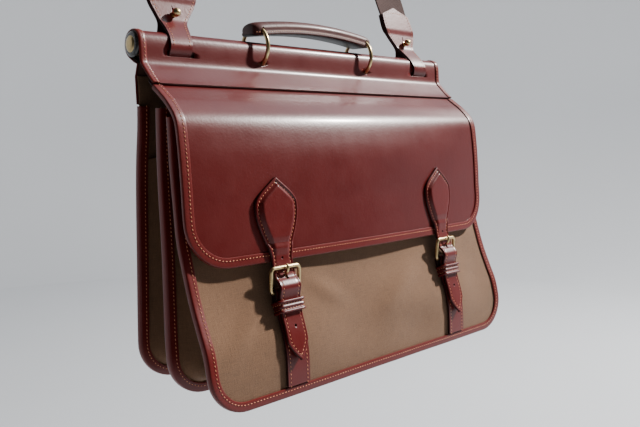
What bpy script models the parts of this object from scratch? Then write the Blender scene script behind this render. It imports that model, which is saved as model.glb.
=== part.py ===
"""Satchel with a leather flap, three bound canvas panels, a round top bar, a ringed handle and a shoulder strap.

Metres, +Z up, +X to the right, the flap faces -Y. The origin is where the strap lies on a shoulder. The bag hangs from
an empty on the axis of its top bar, so the sizes below are measured from that axis.
"""
import math

import bmesh
import bpy
import numpy as np

# Whole bag
BODY_WIDTH = 0.418      # over the bindings
BODY_DROP = 0.3030      # bar axis to the foot of the front panel
BODY_DEPTH = 0.116      # back binding to front binding, at the foot
PANEL_CORNER = 0.036    # radius of the panels' lower corners
BACK_RISE = 0.005       # the back panel's foot hangs this much higher
MIDDLE_RISE = 0.0015

# Walls and clearances
CLEARANCE = 0.0003
SEAM_SLACK = 0.0006     # beside a panel inside its binding
CANVAS = 0.0016
GUSSET_CANVAS = 0.0012
FLAP_LEATHER = 0.0018
SLEEVE_LEATHER = 0.0020
STRAP_LEATHER = 0.0024
STRAP_END_LEATHER = 0.0022
BINDING_LEATHER = 0.0013
BINDING_FACE = 0.0090   # how far a binding reaches over its panel
FLAP_TRIM_LEATHER = 0.0010
FLAP_TRIM_FACE = 0.0085

# Bar, sleeve and caps
BAR_RADIUS = 0.0098
SLEEVE_RADIUS = 0.0122
SLEEVE_INSET = 0.0020   # from the body's side to the sleeve's end
CAP_RADIUS = 0.0112
CAP_RISE = 0.0068
CAP_SPIGOT = 0.0034     # how far a cap reaches into the sleeve

# Flap
FLAP_DROP = 0.1865      # bar axis to the flap's lower edge
YOKE_DROP = 0.0335      # bar axis to the yoke's lower edge
FLAP_TUCK = 0.0070      # how far the flap reaches under the yoke
FLAP_CORNER = 0.040
FLAP_CROWN = 0.009
FRONT_CROWN = 0.008

# Handle and rings
RING_RADIUS = 0.0195
RING_WIRE = 0.0020
RING_RISE = 0.0071      # ring centre above the bar axis
RING_SPACING = 0.148
HANDLE_LENGTH = 0.166
HANDLE_WIDTH = 0.027
HANDLE_THICKNESS = 0.0140
HANDLE_ARCH = 0.0070
HANDLE_SEAT = 0.0162    # middle of the handle's ends above the ring centre

# Shoulder strap
WEBBING_WIDTH = 0.046
WEBBING_THICKNESS = 0.0018
STRAP_RISE = 0.500      # underside of the strap's top above the bar axis
STRAP_LEAN = 0.30       # backward for each unit of height
STRAP_TAPER = 0.165     # inward for each unit of height
STRAP_SPACING = 0.3344  # middle to middle at the height of the bar axis
STRAP_TOP_FLAT = 0.050
STRAP_ARCH = 0.080      # height over which the strap bends to lie on the shoulder
TAB_WIDTH = 0.022
STUD_RADIUS = 0.0040
STUD_HEIGHT = 0.0305    # along the strap

# Closure straps
CLOSURE_SPACING = 0.235
CLOSURE_WIDTH = 0.022
PADDLE_WIDTH = 0.0445
PADDLE_TIP_DROP = 0.1145
PADDLE_LENGTH = 0.070
PADDLE_PAD = 0.0014
CLOSURE_END_DROP = 0.2710
BUCKLE_WIDTH = 0.0320
BUCKLE_HEIGHT = 0.0240
BUCKLE_WIRE = 0.0017
BUCKLE_CORNER = 0.0035
BUCKLE_TOP_DROP = 0.1910
PRONG_WIRE = 0.0012
KEEPER_DROP = 0.2260
KEEPER_HEIGHT = 0.0110
KEEPER_WIDTH = 0.0300
KEEPER_LEATHER = 0.0020

# Folds and profiles, each row read with the smooth curve below it
# out: share of BODY_DEPTH forward of the bar axis; down: share of FLAP_DROP
FLAP_PROFILE = (
    (0.113, 0.088),
    (0.233, 0.161),
    (0.405, 0.236),
    (0.505, 0.304),
    (0.557, 0.359),
    (0.584, 0.456),
    (0.602, 0.552),
    (0.618, 0.660),
    (0.631, 0.764),
    (0.675, 1.000),
)
# out: share of BODY_DEPTH; down: share of BODY_DROP
FRONT_PROFILE = (
    (0.478, 0.195),
    (0.490, 0.240),
    (0.505, 0.332),
    (0.536, 0.440),
    (0.568, 0.535),
    (0.625, 0.607),
    (0.712, 0.701),
    (0.803, 0.777),
    (0.868, 0.830),
    (0.910, 0.894),
    (0.928, 0.960),
    (0.934, 1.000),
)
MIDDLE_PROFILE = (
    (0.330, 0.170),
    (0.324, 0.240),
    (0.328, 0.375),
    (0.357, 0.568),
    (0.366, 0.706),
    (0.372, 0.822),
    (0.388, 0.900),
    (0.392, 1.000),
)
BACK_PROFILE = (
    (0.052, 0.085),
    (0.062, 0.120),
    (0.066, 0.170),
    (0.058, 0.240),
    (0.030, 0.330),
    (0.012, 0.440),
    (-0.004, 0.645),
    (-0.022, 0.857),
    (-0.020, 1.000),
)
# Soft hollows in the front canvas; side: share of half the width, down: share of BODY_DROP,
# wide and high: shares of BODY_WIDTH and BODY_DROP, deep: share of BODY_DEPTH
FRONT_DENTS = (
    (-0.86, 0.74, 0.10, 0.16, 0.030),
    (-0.12, 0.84, 0.13, 0.10, 0.034),
    (-0.02, 0.68, 0.20, 0.05, 0.014),
    (0.30, 0.90, 0.09, 0.06, 0.022),
    (0.86, 0.80, 0.08, 0.10, 0.026),
)
# Gusset fold; across: share of the way from panel to panel, in: share of the fold's depth
GUSSET_FOLD = (
    (0.14, 0.40),
    (0.50, 1.00),
    (0.86, 0.40),
)
SIDE_FOLD = 0.024
FOOT_FOLD = 0.009
CORNER_FOLD = 0.013

# Strap end; along: share of STRAP_END_LENGTH above the bar axis, half: share of STRAP_END_WIDTH
STRAP_END_LENGTH = 0.075
STRAP_END_WIDTH = 0.050
STRAP_END_OUTLINE = (
    (0.22, 0.235),
    (0.32, 0.280),
    (0.43, 0.370),
    (0.54, 0.460),
    (0.65, 0.500),
    (0.76, 0.492),
    (0.88, 0.465),
    (1.00, 0.016),
)
# Paddle of a closure strap; along: share of PADDLE_LENGTH, half: share of PADDLE_WIDTH
PADDLE_OUTLINE = (
    (0.00, 0.020),
    (0.09, 0.190),
    (0.19, 0.390),
    (0.28, 0.490),
    (0.38, 0.500),
    (0.55, 0.420),
    (0.74, 0.320),
    (0.90, 0.262),
    (1.00, 0.247),
)

LEATHER = ((0.165, 0.022, 0.018), 0.36, 0.0)
TRIM = ((0.205, 0.032, 0.024), 0.42, 0.0)
CANVAS_CLOTH = ((0.150, 0.088, 0.052), 0.90, 0.0)
WEBBING_CLOTH = ((0.105, 0.055, 0.038), 0.85, 0.0)
ANTIQUE_BRASS = ((0.52, 0.41, 0.20), 0.30, 1.0)
BAR_WOOD = ((0.20, 0.12, 0.07), 0.60, 0.0)

HALF_WIDTH = BODY_WIDTH / 2
SLEEVE_HALF = HALF_WIDTH - SLEEVE_INSET
BAR_HALF = SLEEVE_HALF - CAP_SPIGOT - CLEARANCE
CORNER_TURNS = (22, 45, 68)   # degrees round a panel's lower corner
PANEL_COLUMNS = 9
BACK_ROWS = 11
MIDDLE_ROWS = 9
FRONT_ROWS = 10
FLAP_COLUMNS = 11
FLAP_ROWS = 11


def clear_scene():
    for thing in list(bpy.data.objects):
        bpy.data.objects.remove(thing, do_unlink=True)


def make_material(name, look):
    colour, roughness, metallic = look
    material = bpy.data.materials.new(name)
    material.use_nodes = True
    shader = next(n for n in material.node_tree.nodes if n.type == "BSDF_PRINCIPLED")
    shader.inputs["Base Color"].default_value = (*colour, 1)
    shader.inputs["Roughness"].default_value = roughness
    shader.inputs["Metallic"].default_value = metallic
    return material


def add_empty(name, location, parent=None):
    empty = bpy.data.objects.new(name, None)
    bpy.context.collection.objects.link(empty)
    empty.location = location
    empty.parent = parent
    return empty


def is_twisted(face):
    """True where the corners of a face stand off its plane."""
    middle = face.calc_center_median()
    return max(abs((corner.co - middle).dot(face.normal)) for corner in face.verts) > CLEARANCE / 10


def add_object(name, points, faces, look, parent, smooth_angle=40):
    """One closed body from points and faces, with its faces turned outward."""
    mesh = bpy.data.meshes.new(name)
    mesh.from_pydata([tuple(float(c) for c in p) for p in points], [], faces)
    shape = bmesh.new()
    shape.from_mesh(mesh)
    bmesh.ops.recalc_face_normals(shape, faces=shape.faces)
    bmesh.ops.triangulate(shape, faces=[face for face in shape.faces if is_twisted(face)])
    if shape.calc_volume(signed=True) < 0:
        bmesh.ops.reverse_faces(shape, faces=shape.faces)
    shape.to_mesh(mesh)
    shape.free()
    mesh.shade_smooth()
    mesh.set_sharp_from_angle(angle=math.radians(smooth_angle))
    mesh.materials.append(make_material(name, look))
    thing = bpy.data.objects.new(name, mesh)
    bpy.context.collection.objects.link(thing)
    thing.parent = parent
    return thing


def cut(thing, cutters, operation="DIFFERENCE"):
    for number, cutter in enumerate(cutters):
        cutter.hide_render = True
        cutter.display_type = "WIRE"
        step = thing.modifiers.new(f"cut_{number}", "BOOLEAN")
        step.operation = operation
        step.solver = "EXACT"
        step.object = cutter


def unit(vector):
    return np.asarray(vector, float) / np.linalg.norm(vector)


class Run:
    """A smooth curve in the plane of depth and height, read by the distance along it."""

    def __init__(self, points, steps=8):
        points = [np.asarray(p, float) for p in points]
        padded = [2 * points[0] - points[1], *points, 2 * points[-1] - points[-2]]
        dense = []
        for a, b, c, d in zip(padded, padded[1:], padded[2:], padded[3:]):
            for k in range(steps):
                t = k / steps
                dense.append(0.5 * (2 * b + (c - a) * t + (2 * a - 5 * b + 4 * c - d) * t * t
                                    + (3 * b - a - 3 * c + d) * t**3))
        dense.append(points[-1])
        self.points = np.array(dense)
        gaps = np.linalg.norm(np.diff(self.points, axis=0), axis=1)
        self.marks = np.concatenate([[0], np.cumsum(gaps)])
        self.length = self.marks[-1]

    def at(self, distance):
        return np.array([np.interp(distance, self.marks, self.points[:, k]) for k in range(2)])

    def tangent(self, distance):
        near = self.length * 0.01
        low = self.at(max(distance - near, 0))
        return unit(self.at(min(distance + near, self.length)) - low)

    def distance_at_drop(self, drop):
        return float(np.interp(drop, -self.points[:, 1], self.marks))


class Skin:
    """A wall's middle surface: a run of depth and height drawn across the bag's width, with a bulge."""

    def __init__(self, run, bulge):
        self.run = run
        self.bulge = bulge

    def point(self, x, distance, out=0.0):
        y, z = self.run.at(distance)
        ty, tz = self.run.tangent(distance)
        offset = out + self.bulge(x / HALF_WIDTH, -z)
        return np.array([x, y + tz * offset, z - ty * offset])

    def frame(self, x, distance, out=0.0):
        """Origin, across, down and outward directions on the surface."""
        near = self.run.length * 0.01
        across = unit(self.point(x + near, distance, out) - self.point(x - near, distance, out))
        down = unit(self.point(x, min(distance + near, self.run.length), out)
                    - self.point(x, max(distance - near, 0), out))
        outward = unit(np.cross(down, across))
        return self.point(x, distance, out), across, unit(np.cross(across, outward)), outward


def grid_faces(rows, columns, offset=0, wrap=False):
    faces = []
    for i in range(rows - 1):
        for j in range(columns if wrap else columns - 1):
            a = offset + i * columns + j
            b = offset + i * columns + (j + 1) % columns
            faces.append((a, b, b + columns, a + columns))
    return faces


def wall(name, rows, thickness, look, parent, front=None, back=None):
    """A closed wall on a grid of middle points. front and back may give each point its own half thickness."""
    grid = np.array(rows, float)
    count, columns = grid.shape[:2]
    along = np.gradient(grid, axis=0)
    across = np.gradient(grid, axis=1)
    normals = np.cross(along, across)
    normals /= np.linalg.norm(normals, axis=2, keepdims=True)
    front = np.full((count, columns), thickness / 2) if front is None else np.array(front)
    back = np.full((count, columns), thickness / 2) if back is None else np.array(back)
    top = (grid + normals * front[..., None]).reshape(-1, 3)
    low = (grid - normals * back[..., None]).reshape(-1, 3)
    size = count * columns
    faces = grid_faces(count, columns) + grid_faces(count, columns, size)
    rim = [(0, j) for j in range(columns)] + [(i, columns - 1) for i in range(1, count)]
    rim += [(count - 1, j) for j in range(columns - 2, -1, -1)] + [(i, 0) for i in range(count - 2, 0, -1)]
    for (a, b), (c, d) in zip(rim, rim[1:] + rim[:1]):
        p, q = a * columns + b, c * columns + d
        faces.append((p, q, q + size, p + size))
    return add_object(name, np.concatenate([top, low]), faces, look, parent)


def sweep(name, stations, section, look, parent, closed=False, smooth_angle=40):
    """A solid whose section, or one section for each station, is carried along origins with two axes."""
    sections = section if isinstance(section[0], list) else [section] * len(stations)
    points = [o + a * u + b * v for (o, a, b), outline in zip(stations, sections) for u, v in outline]
    columns = len(sections[0])
    count = len(stations)
    faces = grid_faces(count, columns, wrap=True)
    if closed:
        last = (count - 1) * columns
        for j in range(columns):
            k = (j + 1) % columns
            faces.append((last + j, last + k, k, j))
    else:
        faces.append(tuple(range(columns)))
        faces.append(tuple(range((count - 1) * columns, count * columns)))
    return add_object(name, points, faces, look, parent, smooth_angle=smooth_angle)


def circle(radius, sides, start=0.0):
    turns = (start + 2 * math.pi * k / sides for k in range(sides))
    return [(radius * math.cos(t), radius * math.sin(t)) for t in turns]


def ring_stations(centre, radius, count):
    """Stations round the X direction."""
    stations = []
    for k in range(count):
        turn = 2 * math.pi * k / count
        spoke = np.array([0, math.cos(turn), math.sin(turn)])
        stations.append((np.asarray(centre, float) + spoke * radius, spoke, np.array([1.0, 0, 0])))
    return stations


def turned(name, profile, origin, axis, look, parent, sides=14):
    """A solid turned about an axis from rows of distance along it and radius, closed at both ends."""
    axis = unit(axis)
    side = unit(np.cross(axis, (0, 0.31, 0.95) if abs(axis[0]) > 0.5 else (1, 0, 0)))
    up = np.cross(axis, side)
    points = []
    for along, radius in profile:
        points += [origin + axis * along + side * u + up * v for u, v in circle(radius, sides)]
    faces = grid_faces(len(profile), sides, wrap=True)
    faces.append(tuple(range(sides)))
    faces.append(tuple(range((len(profile) - 1) * sides, len(profile) * sides)))
    return add_object(name, points, faces, look, parent)


# Surfaces of the bag

def share_points(profile, drop):
    return [(-out * BODY_DEPTH, -down * drop) for out, down in profile]


def dents(side, down):
    total = 0.0
    for at_side, at_down, wide, high, deep in FRONT_DENTS:
        a = (side - at_side) * HALF_WIDTH / (wide * BODY_WIDTH)
        b = (down / BODY_DROP - at_down) / high
        total += deep * BODY_DEPTH * math.exp(-a * a - b * b)
    return total


def flap_bulge(side, down):
    grown = min(max((down - YOKE_DROP) / (FLAP_DROP - YOKE_DROP) * 2.2, 0), 1)
    sunk = (SLEEVE_LEATHER + CLEARANCE) * min(max((YOKE_DROP * 1.75 - down) / (YOKE_DROP * 0.5), 0), 1)
    return FLAP_CROWN * (1 - side * side) * grown * grown * (3 - 2 * grown) - sunk - FLAP_LEATHER / 2


def front_bulge(side, down):
    share = down / BODY_DROP
    grown = min(max((share - 0.22) * 4, 0), 1) * min(max((1.02 - share) * 2.4, 0), 1)
    from_strap = (abs(side) * HALF_WIDTH - CLOSURE_SPACING / 2) / (1.6 * CLOSURE_WIDTH)
    slack = (1 - side**4) * (1 - math.exp(-from_strap * from_strap))
    return FRONT_CROWN * (1 - side * side) * grown - dents(side, down) * slack


def middle_bulge(side, down):
    return 0.0


def back_bulge(side, down):
    share = down / BODY_DROP
    return -0.03 * BODY_DEPTH * (1 - side * side) * math.sin(math.pi * min(max(share - 0.25, 0) / 0.75, 1))


PANEL_EDGE_INSET = BINDING_LEATHER + CLEARANCE
FLAP_EDGE_INSET = FLAP_TRIM_LEATHER + CLEARANCE
# Middle of the front panel's wall behind the outer face of its binding
FRONT_SKIN_INSET = CANVAS / 2 + CLEARANCE + BINDING_LEATHER


def inset_points(points, inset):
    return [(y + inset, z) for y, z in points]


FLAP_SKIN = Skin(Run(share_points(FLAP_PROFILE, FLAP_DROP)), flap_bulge)
FRONT_SKIN = Skin(Run(inset_points(share_points(FRONT_PROFILE, BODY_DROP - PANEL_EDGE_INSET), FRONT_SKIN_INSET)),
                  front_bulge)
MIDDLE_SKIN = Skin(Run(share_points(MIDDLE_PROFILE, BODY_DROP - MIDDLE_RISE - PANEL_EDGE_INSET)), middle_bulge)
BACK_SKIN = Skin(Run(share_points(BACK_PROFILE, BODY_DROP - BACK_RISE - PANEL_EDGE_INSET)), back_bulge)


def cloth_rows(skin, half, corner, rows, columns, start=0.0):
    """Grid over a skin that ends in two round lower corners."""
    length = skin.run.length
    distances = [(d, half) for d in np.linspace(start, length - corner, rows)]
    for angle in CORNER_TURNS + (90,):
        t = math.radians(angle)
        distances.append((length - corner + corner * math.sin(t), half - corner + corner * math.cos(t)))
    return [[skin.point(reach * u, distance) for u in np.linspace(-1, 1, columns)] for distance, reach in distances]


def edge_stations(skin, half, corner, rows, columns, start=0.0, skip=0):
    """Stations down the left edge, round the foot and up the right edge: place, outward and facing directions."""
    length = skin.run.length
    marks = [(-half, d, (-1, 0)) for d in np.linspace(start, length - corner, rows)[skip:]]
    for angle in CORNER_TURNS:
        t = math.radians(angle)
        marks.append((-half + corner - corner * math.cos(t), length - corner + corner * math.sin(t),
                      (-math.cos(t), math.sin(t))))
    turn = len(marks)
    marks += [(x, length, (0, 1)) for x in np.linspace(-half + corner, half - corner, columns)]
    marks += [(-x, d, (-a, b)) for x, d, (a, b) in reversed(marks[:turn])]
    stations = []
    for x, distance, (side, foot) in marks:
        place, across, down, facing = skin.frame(x, distance)
        stations.append((place, unit(across * side + down * foot), facing))
    return stations


def channel(face, grip, behind, before, leather):
    """Section of a folded strip: outward, facing."""
    low, high = -behind - leather, before + leather
    return [(-face, low), (grip + leather * 0.35, low), (grip + leather, (low + high) / 2),
            (grip + leather * 0.35, high), (-face, high),
            (-face, before), (grip, before), (grip, -behind), (-face, -behind)]


PANEL_HALF = HALF_WIDTH - PANEL_EDGE_INSET
PANEL_BEND = PANEL_CORNER - PANEL_EDGE_INSET


def panel(name, skin, top_drop, rows, parent):
    start = skin.run.distance_at_drop(top_drop)
    return wall(name, cloth_rows(skin, PANEL_HALF, PANEL_BEND, rows, PANEL_COLUMNS, start), CANVAS, CANVAS_CLOTH, parent)


def binding(name, skin, top_drop, rows, behind, before, parent, skip=0):
    start = skin.run.distance_at_drop(top_drop)
    stations = edge_stations(skin, PANEL_HALF, PANEL_BEND, rows, PANEL_COLUMNS, start, skip)
    section = channel(BINDING_FACE, CLEARANCE, behind, before, BINDING_LEATHER)
    return sweep(name, stations, section, TRIM, parent)


BARE_SIDE = CANVAS / 2 + SEAM_SLACK
GUSSET_SIDE = BARE_SIDE + GUSSET_CANVAS + CLEARANCE
GUSSET_MIDDLE = BARE_SIDE + GUSSET_CANVAS / 2


def gusset(name, panels, parent):
    """Folded canvas strip from the front face of one panel to the back face of the next."""
    sets = []
    for skin, top_drop, count, skip in panels:
        start = skin.run.distance_at_drop(top_drop)
        sets.append(edge_stations(skin, PANEL_HALF, PANEL_BEND, count, PANEL_COLUMNS, start, skip))
    rows = []
    for (a, out_a, face_a), (b, out_b, face_b) in zip(*sets):
        foot = abs((out_a[0]))
        fold = FOOT_FOLD + (SIDE_FOLD - FOOT_FOLD) * foot**2
        if 0.05 < foot < 0.99:
            fold = CORNER_FOLD
        mouth = BINDING_FACE + CLEARANCE + GUSSET_CANVAS
        rear = a + face_a * GUSSET_MIDDLE
        fore = b - face_b * GUSSET_MIDDLE
        row = [rear - out_a * CLEARANCE, rear - out_a * mouth]
        for across, deep in GUSSET_FOLD:
            place = (rear - out_a * mouth) * (1 - across) + (fore - out_b * mouth) * across
            row.append(place - unit(out_a * (1 - across) + out_b * across) * fold * deep)
        row += [fore - out_b * mouth, fore - out_b * CLEARANCE]
        rows.append(row)
    return wall(name, rows, GUSSET_CANVAS, CANVAS_CLOTH, parent)


# Bar and sleeve

def ring_cutter(name, x, parent):
    centre = (x, 0, RING_RISE)
    thing = sweep(name, ring_stations(centre, RING_RADIUS, 24), circle(RING_WIRE + CLEARANCE, 8, math.pi / 8),
                  ANTIQUE_BRASS, parent, closed=True)
    return thing


def strap_x(height):
    return STRAP_SPACING / 2 - STRAP_TAPER * height


TAB_INNER = SLEEVE_RADIUS + CLEARANCE
TAB_MIDDLE = TAB_INNER + STRAP_END_LEATHER / 2


def tab_cutter(name, side, parent):
    inner, outer = SLEEVE_RADIUS + CLEARANCE / 5, TAB_INNER + STRAP_END_LEATHER + CLEARANCE
    half = TAB_WIDTH / 2 + CLEARANCE + STRAP_TAPER * outer
    section = [(inner - TAB_MIDDLE, -half), (outer - TAB_MIDDLE, -half), (outer - TAB_MIDDLE, half),
               (inner - TAB_MIDDLE, half)]
    return sweep(name, ring_stations((side * strap_x(0), 0, 0), TAB_MIDDLE, 30), section, LEATHER, parent, closed=True)


def make_bar(parent):
    turned("top_bar", [(0, BAR_RADIUS), (2 * BAR_HALF, BAR_RADIUS)], np.array([-BAR_HALF, 0, 0]), (1, 0, 0),
           BAR_WOOD, parent, 24)
    for side, word in ((-1, "left"), (1, "right")):
        start = SLEEVE_HALF - CAP_SPIGOT
        collar = CAP_SPIGOT + CLEARANCE
        profile = [(0, BAR_RADIUS * 0.98), (collar, BAR_RADIUS * 0.98), (collar, CAP_RADIUS),
                   (collar + 0.2 * CAP_RISE, CAP_RADIUS), (collar + 0.3 * CAP_RISE, CAP_RADIUS * 0.90),
                   (collar + 0.62 * CAP_RISE, CAP_RADIUS * 0.78), (collar + 0.88 * CAP_RISE, CAP_RADIUS * 0.48),
                   (collar + CAP_RISE, CAP_RADIUS * 0.12)]
        turned(f"bar_cap_{word}", profile, np.array([side * start, 0, 0]), (side, 0, 0), ANTIQUE_BRASS, parent)


def sleeve_route():
    """Middle line of the sleeve leather: yoke edge, round the bar and down behind the back panel."""
    leather = SLEEVE_LEATHER
    middle = SLEEVE_RADIUS - leather / 2
    run = FLAP_SKIN.run
    edge = run.distance_at_drop(YOKE_DROP)
    crease = np.array([-0.79 * SLEEVE_RADIUS, -1.24 * SLEEVE_RADIUS])
    route = []
    for distance in (edge, edge - FLAP_TUCK, run.length * 0.02):
        ty, tz = run.tangent(distance)
        route.append(run.at(distance) - np.array([tz, -ty]) * leather / 2)
    route.append(crease)
    for angle in range(190, -61, -18):
        turn = math.radians(angle)
        route.append((middle * math.cos(turn), middle * math.sin(turn)))
    under = crease + unit((0.75, -0.66)) * (leather + CLEARANCE)
    back = BACK_SKIN
    route += [(-0.08 * middle, -1.19 * middle), tuple(under)]
    start = back.run.distance_at_drop(BACK_TOP)
    for distance in np.linspace(start, back.run.length - PANEL_BEND, BACK_ROWS)[:2]:
        place = back.point(0, distance, -(CANVAS / 2 + CLEARANCE + leather / 2))
        route.append((place[1], place[2]))
    return route


def make_sleeve(parent):
    route = sleeve_route()
    rows = [[(x, y, z) for x in (-SLEEVE_HALF, SLEEVE_HALF)] for y, z in route]
    grid = np.array(rows, float)
    thing = wall("bar_sleeve", grid, SLEEVE_LEATHER, LEATHER, parent)
    cutters = [ring_cutter(f"ring_hole_{k}", side * RING_SPACING / 2, parent) for k, side in enumerate((-1, 1))]
    cutters += [tab_cutter(f"tab_slot_{k}", side, parent) for k, side in enumerate((-1, 1))]
    cut(thing, cutters)


# Flap

def make_flap(parent):
    half, corner = HALF_WIDTH - FLAP_EDGE_INSET, FLAP_CORNER - FLAP_EDGE_INSET
    start = FLAP_SKIN.run.distance_at_drop(YOKE_DROP) - FLAP_TUCK
    rows = cloth_rows(FLAP_SKIN, half, corner, FLAP_ROWS, FLAP_COLUMNS, start)
    wall("flap", rows, FLAP_LEATHER, LEATHER, parent)
    side = FLAP_LEATHER / 2 + CLEARANCE
    section = channel(FLAP_TRIM_FACE, CLEARANCE, side, side, FLAP_TRIM_LEATHER)
    stations = edge_stations(FLAP_SKIN, half, corner, FLAP_ROWS, FLAP_COLUMNS, start, skip=1)
    sweep("flap_binding", stations, section, TRIM, parent)


# Body

FRONT_TOP = 0.205 * BODY_DROP
MIDDLE_TOP = 0.180 * BODY_DROP
BACK_TOP = 0.090 * BODY_DROP


def make_body(parent):
    panel("back_panel", BACK_SKIN, BACK_TOP, BACK_ROWS, parent)
    panel("middle_panel", MIDDLE_SKIN, MIDDLE_TOP, MIDDLE_ROWS, parent)
    panel("front_panel", FRONT_SKIN, FRONT_TOP, FRONT_ROWS, parent)
    binding("back_binding", BACK_SKIN, BACK_TOP, BACK_ROWS, BARE_SIDE, GUSSET_SIDE, parent, skip=2)
    binding("middle_binding", MIDDLE_SKIN, MIDDLE_TOP, MIDDLE_ROWS, GUSSET_SIDE, GUSSET_SIDE, parent)
    binding("front_binding", FRONT_SKIN, FRONT_TOP, FRONT_ROWS, GUSSET_SIDE, BARE_SIDE, parent)
    gusset("rear_gusset", ((BACK_SKIN, BACK_TOP, BACK_ROWS, 3), (MIDDLE_SKIN, MIDDLE_TOP, MIDDLE_ROWS, 1)), parent)
    gusset("front_gusset", ((MIDDLE_SKIN, MIDDLE_TOP, MIDDLE_ROWS, 1), (FRONT_SKIN, FRONT_TOP, FRONT_ROWS, 2)), parent)


# Closure straps and buckles

LAYER = STRAP_LEATHER + CLEARANCE
LOWER_STRAP_OUT = CANVAS / 2 + 2 * CLEARANCE + STRAP_LEATHER / 2
BUCKLE_SPAN = BUCKLE_HEIGHT - 2 * BUCKLE_WIRE
LOW_BAR_DROP = BUCKLE_TOP_DROP + BUCKLE_SPAN * 0.98
LOW_BAR_OUT = CANVAS / 2 + LAYER + CLEARANCE + CLEARANCE + BUCKLE_WIRE
LOOP_RADIUS = BUCKLE_WIRE + CLEARANCE + STRAP_LEATHER / 2


def front_frame(side, drop, out=0.0):
    """Place, across, down and outward directions over the front panel where a closure strap runs."""
    x = side * CLOSURE_SPACING / 2
    skin = FRONT_SKIN
    place, across, down, outward = skin.frame(x, skin.run.distance_at_drop(drop))
    return place + outward * out, across, down, outward


def flap_strap_middle(side):
    """Middle of the closure strap where it leaves the flap's lower edge."""
    lift = FLAP_LEATHER / 2 + FLAP_TRIM_LEATHER + 2 * CLEARANCE + STRAP_LEATHER / 2
    return FLAP_SKIN.point(side * CLOSURE_SPACING / 2, FLAP_SKIN.run.length, lift)


def top_bar_out(side):
    """How far the buckle's upper bar stands over the front panel, in front of the closure strap."""
    place, across, down, outward = front_frame(side, BUCKLE_TOP_DROP)
    strap = float(np.dot(flap_strap_middle(side) - place, outward))
    return strap + STRAP_LEATHER / 2 + CLEARANCE + BUCKLE_WIRE


def closure_path(side):
    """Rows of drop and middle height over the front panel, from the buckle's upper bar to the free tip."""
    over_top = top_bar_out(side) - BUCKLE_WIRE - CLEARANCE - STRAP_LEATHER / 2
    over_low = LOW_BAR_OUT + LOOP_RADIUS + LAYER
    double = LOWER_STRAP_OUT + 2 * LAYER
    single = LOWER_STRAP_OUT + LAYER + CLEARANCE
    low, end = LOW_BAR_DROP, CLOSURE_END_DROP
    keeper_top, keeper_foot = KEEPER_DROP - KEEPER_HEIGHT / 2, KEEPER_DROP + KEEPER_HEIGHT / 2
    return [(BUCKLE_TOP_DROP, over_top), (BUCKLE_TOP_DROP + 0.4 * BUCKLE_SPAN, over_top * 0.45 + over_low * 0.55),
            (low - 0.0040, over_low), (low + 0.0022, over_low * 0.985), (keeper_top, double + 0.0012),
            (keeper_foot, double - 0.0012), (keeper_foot + 0.0070, single + CLEARANCE), (end - 0.0200, single),
            (end - 0.0090, single + 0.0006), (end - 0.0040, single + 0.0016), (end, single + 0.0026)]


def closure_strap(side, word, parent):
    skin = FLAP_SKIN
    x = side * CLOSURE_SPACING / 2
    start, end = skin.run.distance_at_drop(PADDLE_TIP_DROP), skin.run.length
    shares = (0, 0.06, 0.14, 0.22, 0.30, 0.42, 0.58, 0.74, 0.88, 1.0, 1.045)
    columns = (-1, -0.62, 0, 0.62, 1)
    rows, pads = [], []
    for share in shares:
        distance = min(start + share * PADDLE_LENGTH, end)
        half = PADDLE_WIDTH * float(np.interp(share, *zip(*PADDLE_OUTLINE)))
        on_trim = distance > end - FLAP_TRIM_FACE - 0.004
        lift = FLAP_LEATHER / 2 + CLEARANCE + STRAP_LEATHER / 2 + (FLAP_TRIM_LEATHER + CLEARANCE if on_trim else 0)
        rows.append([skin.point(x + half * c, distance, lift) for c in columns])
        pad = PADDLE_PAD * min(share / 0.15, 1) * min(max((1 - share) / 0.25, 0), 1)
        pads.append([pad * (1 - abs(c) ** 3) for c in columns])
    for drop, out in closure_path(side):
        place, across, down, outward = front_frame(side, drop, out)
        near_end = (CLOSURE_END_DROP - drop) / (0.5 * CLOSURE_WIDTH)
        half = CLOSURE_WIDTH / 2 * min(max(near_end, 0.08) ** 0.7, 1)
        rows.append([place + across * half * c for c in columns])
        pads.append([0.0] * len(columns))
    half_thick = STRAP_LEATHER / 2
    grid = np.array(rows)
    facing = np.cross(grid[1, 0] - grid[0, 0], grid[1, -1] - grid[1, 0])
    if facing[1] > 0:
        grid = grid[:, ::-1]
    front = np.array(pads) + half_thick
    thing = wall(f"closure_strap_{word}", grid, STRAP_LEATHER, LEATHER, parent, front=front)
    place, across, down, outward = front_frame(side, BUCKLE_TOP_DROP + 0.42 * BUCKLE_SPAN)
    beside, along = PRONG_WIRE + CLEARANCE, 0.19 * BUCKLE_SPAN
    hole = slab(f"prong_hole_{word}", place, (across, down, outward),
                ((-beside, beside), (-along, along), (2 * STRAP_LEATHER, 7 * STRAP_LEATHER)), parent)
    cut(thing, [hole])


def slab(name, place, axes, spans, parent):
    """A plain block along three axes."""
    corners = [place + sum(axis * span[bit] for axis, span, bit in zip(axes, spans, bits))
               for bits in ((0, 0, 0), (1, 0, 0), (1, 1, 0), (0, 1, 0), (0, 0, 1), (1, 0, 1), (1, 1, 1), (0, 1, 1))]
    faces = [(0, 1, 2, 3), (4, 5, 6, 7), (0, 1, 5, 4), (1, 2, 6, 5), (2, 3, 7, 6), (3, 0, 4, 7)]
    return add_object(name, corners, faces, LEATHER, parent)


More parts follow.
